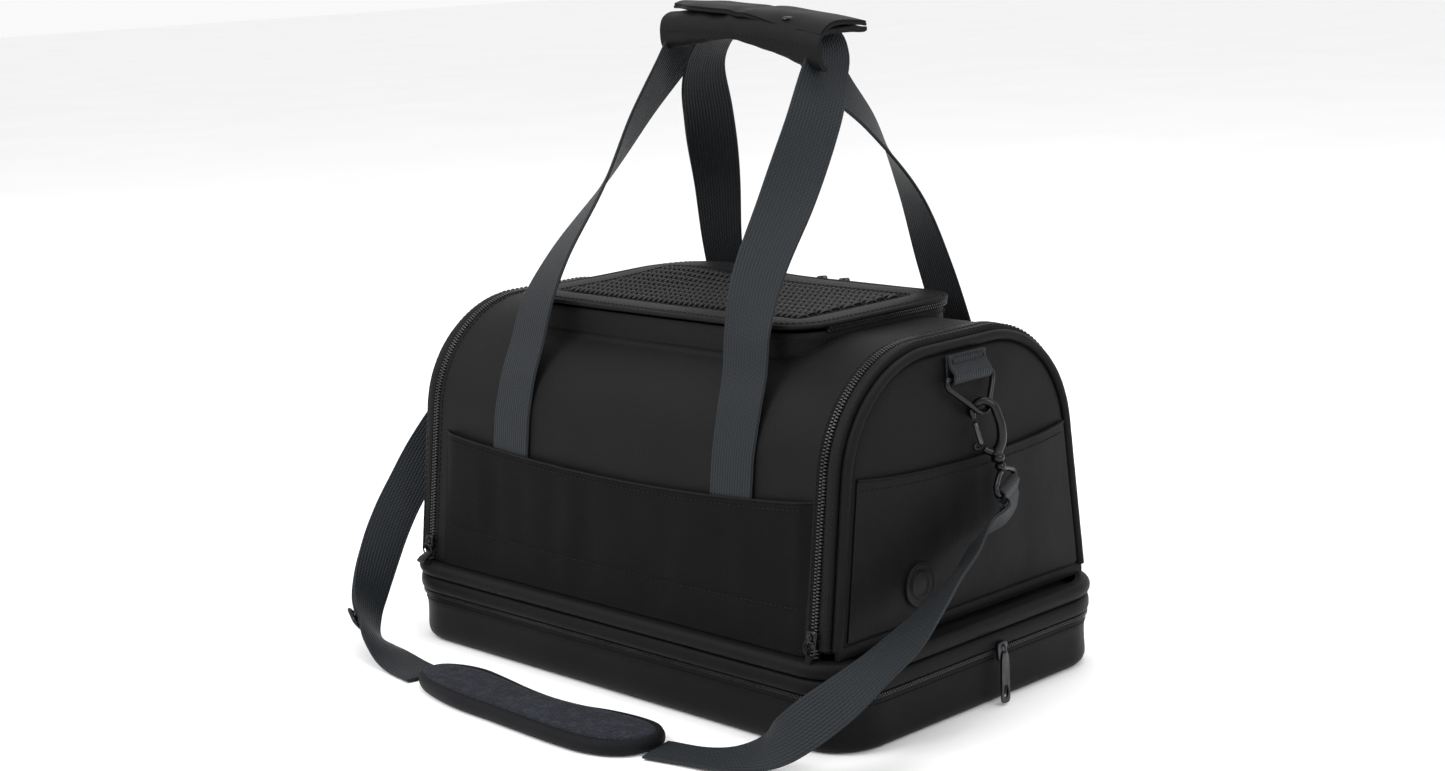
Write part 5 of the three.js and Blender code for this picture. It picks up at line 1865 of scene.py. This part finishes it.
class CARRIER_OT_grip(bpy.types.Operator):
    """Cloth sleeve folded over both handles, its overlapping flap and the snap"""

    bl_idname = "carrier.grip"
    bl_label = "Grip wrap"

    def execute(self, context):
        self.sleeve()
        self.flap()
        return {"FINISHED"}

    def sleeve(self):
        """Padded sleeve, a soft open C round the webbing: its front edge rises to a point in the middle."""
        low, high = GRIP
        y0, y1, z = low.y, high.y, GRIP_Z_MID
        outer = [
            (y1, 15.8), (y1 - 12 * MM, 16.3), (y0 + 20 * MM, 16.5), (y0 + 8 * MM, 15.8),
            (y0 + 2 * MM, 12.8), (y0 - 0.5 * MM, 7), (y0 - 1 * MM, 0), (y0, -7), (y0 + 3 * MM, -11.4),
            (y0 + 7 * MM, -12.2)
        ]
        inner = [
            (y0 + 8 * MM, -9.6), (y0 + 4.4 * MM, -8.4), (y0 + 3 * MM, -2), (y0 + 3 * MM, 6),
            (y0 + 4 * MM, 12), (y0 + 9 * MM, 13.2), (y0 + 22 * MM, 13.4), (y1, 13.2)
        ]
        outline = outer + inner
        closed = smooth_line([(a, b * MM) for a, b in outline + outline[:1]], 65)[:-1]
        rows = []
        for x in np.linspace(low.x - 2 * MM, high.x + 9 * MM, 80):
            along = (x - low.x) / (high.x - low.x)
            peak = max(0, 1 - abs(along - 0.46) / 0.5)
            hang = 1 - 0.95 * peak ** 0.9
            ring = []
            for y, dz in closed:
                fold = 1.3 * MM * ripple(x * 1.2, y, dz, 0.016, 2.8)
                rib = 1.5 * MM * math.exp(-((along - 0.46) / 0.03) ** 2) if dz > 0 else 0.0
                depth = dz * hang if dz < 0 else dz
                ring.append((x, y, z + depth + grip_tilt(x) + fold + rib))
            rows.append(ring)
        sleeve = loft("grip_sleeve", rows, finish("body cloth"), sharp=60)
        settle(sleeve, "front_handle", "nylon_body", "grip_wrap", fill=0.5)
        seam = [
            (x, y0 - 1.2 * MM, z + 3 * MM + grip_tilt(x)) for x in np.linspace(low.x + 4 * MM, high.x, 60)
        ]
        sew("grip_sleeve_stitching", stitch_parts(seam, (0, -1, 0)), "front_handle", "nylon_body")

    def flap(self):
        """Cover over the top: its left end lifts to a point and its right end drapes down the front."""
        low, high = FLAP
        middle, half_y = (low.y + high.y) / 2, (high.y - low.y) / 2
        rows = []
        for x in np.linspace(low.x, high.x + 6 * MM, 84):
            along = (x - low.x) / (high.x - low.x)
            taper = 1 - 0.5 * (1 - ease(along / 0.2))
            lift = 2 * MM * (1 - ease(along / 0.4))
            crease = -1.2 * MM * math.exp(-((along - 0.5) / 0.04) ** 2)
            hang = 1.5 * MM + 6 * MM * ease((along - 0.45) / 0.4)
            row = []
            for k in np.linspace(-1, 1, 34):
                droop = hang * max(-k, 0) ** 4 + 1.6 * MM * max(k, 0) ** 4
                fold = 1.2 * MM * ripple(x, k * half_y, 0, 0.024, 4.4) * (1 - abs(k) ** 4)
                z = high.z - 0.4 * MM + grip_tilt(x) + lift + crease + fold - droop
                row.append((x, middle + k * half_y * taper, z))
            rows.append(row)
        flap = cloth_shell("grip_flap_cloth", rows, 1.8 * MM, finish("body cloth"), sharp=70)
        settle(flap, "flap", "nylon_body", "grip_flap")
        grid = np.array(rows)
        edge = np.vstack([grid[:, 0], grid[-1, 1:-1], grid[::-1, -1], grid[0, -2:0:-1]])
        binding = tube_parts(resample(edge - (0, 0, 0.7 * MM), 200), 1.15 * MM, 8, closed=True)
        settle(gather("grip_flap_binding", [binding], finish("trim cloth")), "flap", "nylon_body")
        spot = grid[64, 4]
        cap = []
        for r, h in ((0.2, 2.3), (2.4, 2.2), (3.8, 1.8), (4.5, 1.1), (4.7, 0.4), (4.2, 0.0), (0.2, 0.0)):
            turn = np.arange(32) * TAU / 32
            cap.append([tuple(spot + np.array([r * math.cos(a), r * math.sin(a), h]) * MM) for a in turn])
        settle(loft("grip_flap_snap", cap, finish("enamel"), sharp=40), "flap", "hook_black")


# ---------------------------------------------------------------- rings, hooks and tabs
RING_BAR_Z = 225 * MM
RING_BAR_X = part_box("right_door_pocket")[1].x + 3.2 * MM
CHAINS = {
    "right": dict(
        side=1, apex=(0.222, 0.009, 0.201), down=(9.9, 10.5, -53), across=(0.7, 0.714, 0),
        eye=(0.32, -0.94, 0)
    ),
    "left": dict(
        side=-1, apex=(-0.227, -0.013, 0.207), down=(-8, -43, -34), across=(-1, 0, 0.15),
        eye=(-0.5, -0.48, 0.72)
    ),
}


def rounded_corners(corners, radius, steps=5):
    """Closed outline with its corners rounded."""
    points = []
    corners = np.array(corners, float)
    for i, p in enumerate(corners):
        a, b = corners[i - 1], corners[(i + 1) % len(corners)]
        start, end = p + unit(a - p) * radius, p + unit(b - p) * radius
        for t in np.linspace(0, 1, steps):
            points.append((1 - t) ** 2 * start + 2 * t * (1 - t) * p + t * t * end)
    return np.array(points)


class CARRIER_OT_hardware(bpy.types.Operator):
    """Ring tab, triangular ring, trigger hook with its gate, and swivel eye at each end"""

    bl_idname = "carrier.hardware"
    bl_label = "Rings and hooks"

    def execute(self, context):
        for label, chain in CHAINS.items():
            self.tab(label, chain["side"])
            self.ring(label, chain)
            self.hook(label, chain)
        return {"FINISHED"}

    def tab(self, label, side):
        """Folded webbing tab round the ring's bar, sewn to the top of the door."""
        s = sizes()
        loop_r, half = 3.3 * MM, 0.8 * MM
        x0 = RING_BAR_X - loop_r
        path = [(x0, 0.240), (x0, 0.236), (x0, 0.230)]
        for i in range(13):
            angle = math.pi + math.pi * i / 12
            path.append((RING_BAR_X + loop_r * math.cos(angle), RING_BAR_Z + loop_r * math.sin(angle)))
        path += [
            (RING_BAR_X + loop_r, 0.228), (x0 + 2 * half + 1.6 * MM, 0.2325),
            (x0 + 2 * half + 0.4 * MM, 0.236), (x0 + 2 * half + 0.3 * MM, 0.240)
        ]
        route = [(side * x, 0, z, 0, 1, 0) for x, z in path]
        grid, *_ = strap_grid(route, s.handle_width, 1.6 * MM, 70)
        tab = loft(f"{label}_ring_tab_webbing", grid, finish("webbing"))
        settle(tab, f"{label}_door", "webbing", f"{label}_ring_tab")
        x = side * (x0 + 3 * half + 0.75 * MM)
        wide = s.handle_width / 2 - 3.5 * MM
        runs = [
            [(x, -wide, 0.2385), (x, wide, 0.2385)], [(x, -wide, 0.2345), (x, wide, 0.2345)],
            [(x, -wide, 0.2345), (x, -wide, 0.2385)], [(x, wide, 0.2345), (x, wide, 0.2385)]
        ]
        sewn = []
        for run in runs:
            sewn += stitch_parts(run, (side, 0, 0.15), length=2.2 * MM, gap=0.9 * MM)
        sew(f"{label}_ring_tab_stitching", sewn, f"{label}_door", "webbing")

    def ring(self, label, chain):
        """Wire triangle: its straight bar lies in the tab and the hook bears on its point."""
        apex = np.array(chain["apex"])
        bar = np.array([chain["side"] * RING_BAR_X, 0, RING_BAR_Z])
        drop = apex - bar
        along = np.array([0.0, 1.0, 0.0])
        v = unit(drop - along * drop[1])
        depth = float(np.dot(drop, v)) / MM
        lean = drop[1] / MM
        corners = [
            (-23, 0), (23, 0), (23, 5.5), (lean + 4, depth + 1.5), (lean - 4, depth + 1.5), (-23, 5.5)
        ]
        flat = rounded_corners(corners, 2.4)
        points = [bar + along * a * MM + v * b * MM for a, b in flat]
        parts = [tube_parts(points, sizes().wire, 12, closed=True, up=tuple(np.cross(along, v)))]
        ring = gather(f"{label}_ring_wire", parts, finish("enamel"))
        settle(ring, f"{label}_door", "hook_black", f"{label}_ring")

    def hook(self, label, chain):
        """Cast trigger hook with its collar and ball, flat gate lever and swivel eye."""
        apex = Vector(chain["apex"])
        d = Vector(chain["down"]).normalized()
        u = Vector(chain["across"])
        u = (u - d * u.dot(d)).normalized()
        n = (-d).cross(u)
        place = Matrix((u, n, -d)).transposed().to_4x4()
        place.translation = apex

        def put(points):
            return [tuple(place @ (Vector((x, y, z)) * MM)) for x, y, z in points]

        bail = [(-8, -4), (-7, 2.4), (0, 5.7), (6.4, 1.6), (7.8, -6), (7.6, -16), (5, -24.5), (0.6, -30)]
        line = smooth_line([(x, 0, z) for x, z in bail], 60)
        thick = np.interp(np.linspace(0, 1, 60), [0, 0.06, 0.3, 0.7, 1], [1.8, 2.5, 2.8, 3.2, 3.6]) * MM
        parts = [tube_parts(put(line), thick, 16, up=tuple(n))]
        parts.append(
            tube_parts(
                put([(-6.8, 0, -25.6), (-5.2, 0, -27.6), (-2.5, 0, -29.6), (0, 0, -31)]),
                [2.4 * MM, 2.6 * MM, 2.8 * MM, 2.6 * MM], 14, up=tuple(n)
            )
        )
        profile = [
            (0.5, -28.6), (3.2, -28.8), (4.0, -29.8), (4.2, -31), (3.7, -31.8), (4.4, -32.6), (4.6, -34),
            (4.4, -35.6), (3.6, -36.6), (0.5, -36.9)
        ]
        rings = [
            put([(r * math.cos(a), r * math.sin(a), z) for a in np.arange(28) * TAU / 28])
            for r, z in profile
        ]
        parts.append(loft_parts(rings))
        trigger = [(-9.8, -20.5), (-12.0, -21.5), (-12.6, -23.2), (-11.6, -24.6), (-9.2, -24.4)]
        parts.append(
            tube_parts(put(smooth_line([(x, 0, z) for x, z in trigger], 14)), 1.1 * MM, 8, up=tuple(n))
        )
        body = gather(f"{label}_hook_body", parts, finish("enamel"))
        settle(body, f"{label}_door", "hook_black", f"{label}_hook")

        levers = []
        for z, wide, deep in (
            (-6.6, 1.1, 1.2), (-7.4, 1.5, 1.7), (-12, 1.6, 2.4), (-18, 1.7, 2.8), (-21.6, 1.8, 2.6),
            (-22.6, 1.3, 1.8)
        ):
            ring = []
            for a in np.arange(20) * TAU / 20:
                cos, sin = math.cos(a), math.sin(a)
                ring.append(
                    (
                        -7.8 + wide * signed_power(cos, 0.55),
                        deep * signed_power(sin, 0.55), z
                    )
                )
            levers.append(put(ring))
        gate = loft(f"{label}_hook_lever", levers, finish("plated metal"), sharp=60)
        settle(gate, f"{label}_gate", "metal_grey", f"{label}_hook_gate")

        e = Vector(chain["eye"])
        e = (e - d * e.dot(d)).normalized()
        turn = Matrix((e, (-d).cross(e), -d)).transposed().to_4x4()
        turn.translation = apex

        def swing(points):
            return [tuple(turn @ (Vector((x, y, z)) * MM)) for x, y, z in points]

        flat = rounded_corners(
            [(-18.5, -55), (18.5, -55), (18.5, -49), (6, -43.5), (-6, -43.5), (-18.5, -49)], 2.6
        )
        wire = tube_parts(
            swing([(x, 0, z) for x, z in flat]), sizes().wire, 12, closed=True,
            up=tuple(turn.col[1].to_3d())
        )
        profile = [
            (0.5, -37.3), (2.6, -37.6), (3.6, -38.8), (3.9, -40.2), (3.5, -41.6), (2.6, -42.6),
            (3.2, -43.6), (2.4, -44.6), (0.5, -44.8)
        ]
        rings = [
            swing([(r * math.cos(a), r * math.sin(a), z) for a in np.arange(24) * TAU / 24])
            for r, z in profile
        ]
        eye = gather(f"{label}_swivel_eye_wire", [wire, loft_parts(rings)], finish("enamel"))
        settle(eye, f"{label}_door", "hook_black", f"{label}_swivel_eye")


# ---------------------------------------------------------------- inside
class CARRIER_OT_lining(bpy.types.Operator):
    """Quilted lying mat on the cabin floor and the webbing tab at the foot of the left door"""

    bl_idname = "carrier.lining"
    bl_label = "Lying mat and foot tab"

    def execute(self, context):
        low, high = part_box("lying_mat")
        rows = []
        for inset, z in (
            (8, low.z), (2.5, low.z + 0.6 * MM), (0, low.z + 3 * MM), (0, low.z + 5.2 * MM),
            (2.5, high.z - 0.8 * MM)
        ):
            points = round_rect(high.x - inset * MM, high.y - inset * MM, (26 - inset) * MM, 180)
            rows.append(np.column_stack([points, np.full(len(points), z)]))
        for share in (0.96, 0.9, 0.83, 0.75, 0.67, 0.58, 0.5, 0.42, 0.33, 0.25, 0.16, 0.07):
            points = round_rect(high.x * share, high.y * share, 26 * MM * share, 180)
            quilt = [
                0.9 * MM * (abs(math.sin(x / 0.062 * math.pi)) * abs(math.sin(y / 0.058 * math.pi))) ** 0.4
                for x, y in points
            ]
            rows.append(np.column_stack([points, high.z - 0.8 * MM + np.array(quilt)]))
        mat = loft("lying_mat_fleece", rows, finish("fleece"), sharp=80)
        settle(mat, "cabin", "mat_fleece", "lying_mat", fill=0.4)
        foot = WALL_FOOT + 4 * MM
        y = -wall_y(foot)
        route = [
            (-0.197, y - d * MM, foot + h * MM, 0.96, 0.0, 0.26)
            for d, h in ((-1.5, 2), (3, 1), (7, -0.5), (10.5, -3))
        ]
        grid, *_ = strap_grid(route, 10 * MM, 2.6 * MM, 20)
        settle(loft("left_foot_tab", grid, finish("webbing")), "cabin", "webbing")
        return {"FINISHED"}


# ---------------------------------------------------------------- add-on
STEPS = (
    CARRIER_OT_stage,
    CARRIER_OT_shoulder_strap,
    CARRIER_OT_base,
    CARRIER_OT_cabin,
    CARRIER_OT_front_pocket,
    CARRIER_OT_doors,
    CARRIER_OT_door_zips,
    CARRIER_OT_roof,
    CARRIER_OT_handles,
    CARRIER_OT_grip,
    CARRIER_OT_hardware,
    CARRIER_OT_lining,
)


class CARRIER_PT_panel(bpy.types.Panel):
    """Lists the bag's pieces, sizes and colours"""

    bl_idname = "CARRIER_PT_panel"
    bl_label = "Carrier Bag"
    bl_space_type = "VIEW_3D"
    bl_region_type = "UI"
    bl_category = "Carrier Bag"

    def draw(self, context):
        layout = self.layout
        for step in STEPS:
            layout.operator(step.bl_idname)
        for group in (context.scene.carrier_sizes, context.scene.carrier_colours):
            box = layout.box()
            for name in group.__annotations__:
                box.prop(group, name)


CLASSES = (CarrierSizes, CarrierColours, *STEPS, CARRIER_PT_panel)


def register():
    """Adds the classes and their settings to Blender."""
    for cls in CLASSES:
        bpy.utils.register_class(cls)
    bpy.types.Scene.carrier_sizes = bpy.props.PointerProperty(type=CarrierSizes)
    bpy.types.Scene.carrier_colours = bpy.props.PointerProperty(type=CarrierColours)


def unregister():
    """Takes the classes and their settings out again."""
    del bpy.types.Scene.carrier_colours
    del bpy.types.Scene.carrier_sizes
    for cls in reversed(CLASSES):
        bpy.utils.unregister_class(cls)


def main():
    """Registers the add-on and builds every piece."""
    register()
    bpy.ops.carrier.stage()
    bpy.ops.carrier.shoulder_strap()
    bpy.ops.carrier.base()
    bpy.ops.carrier.cabin()
    bpy.ops.carrier.front_pocket()
    bpy.ops.carrier.doors()
    bpy.ops.carrier.door_zips()
    bpy.ops.carrier.roof()
    bpy.ops.carrier.handles()
    bpy.ops.carrier.grip()
    bpy.ops.carrier.hardware()
    bpy.ops.carrier.lining()


if __name__ == "__main__":
    main()
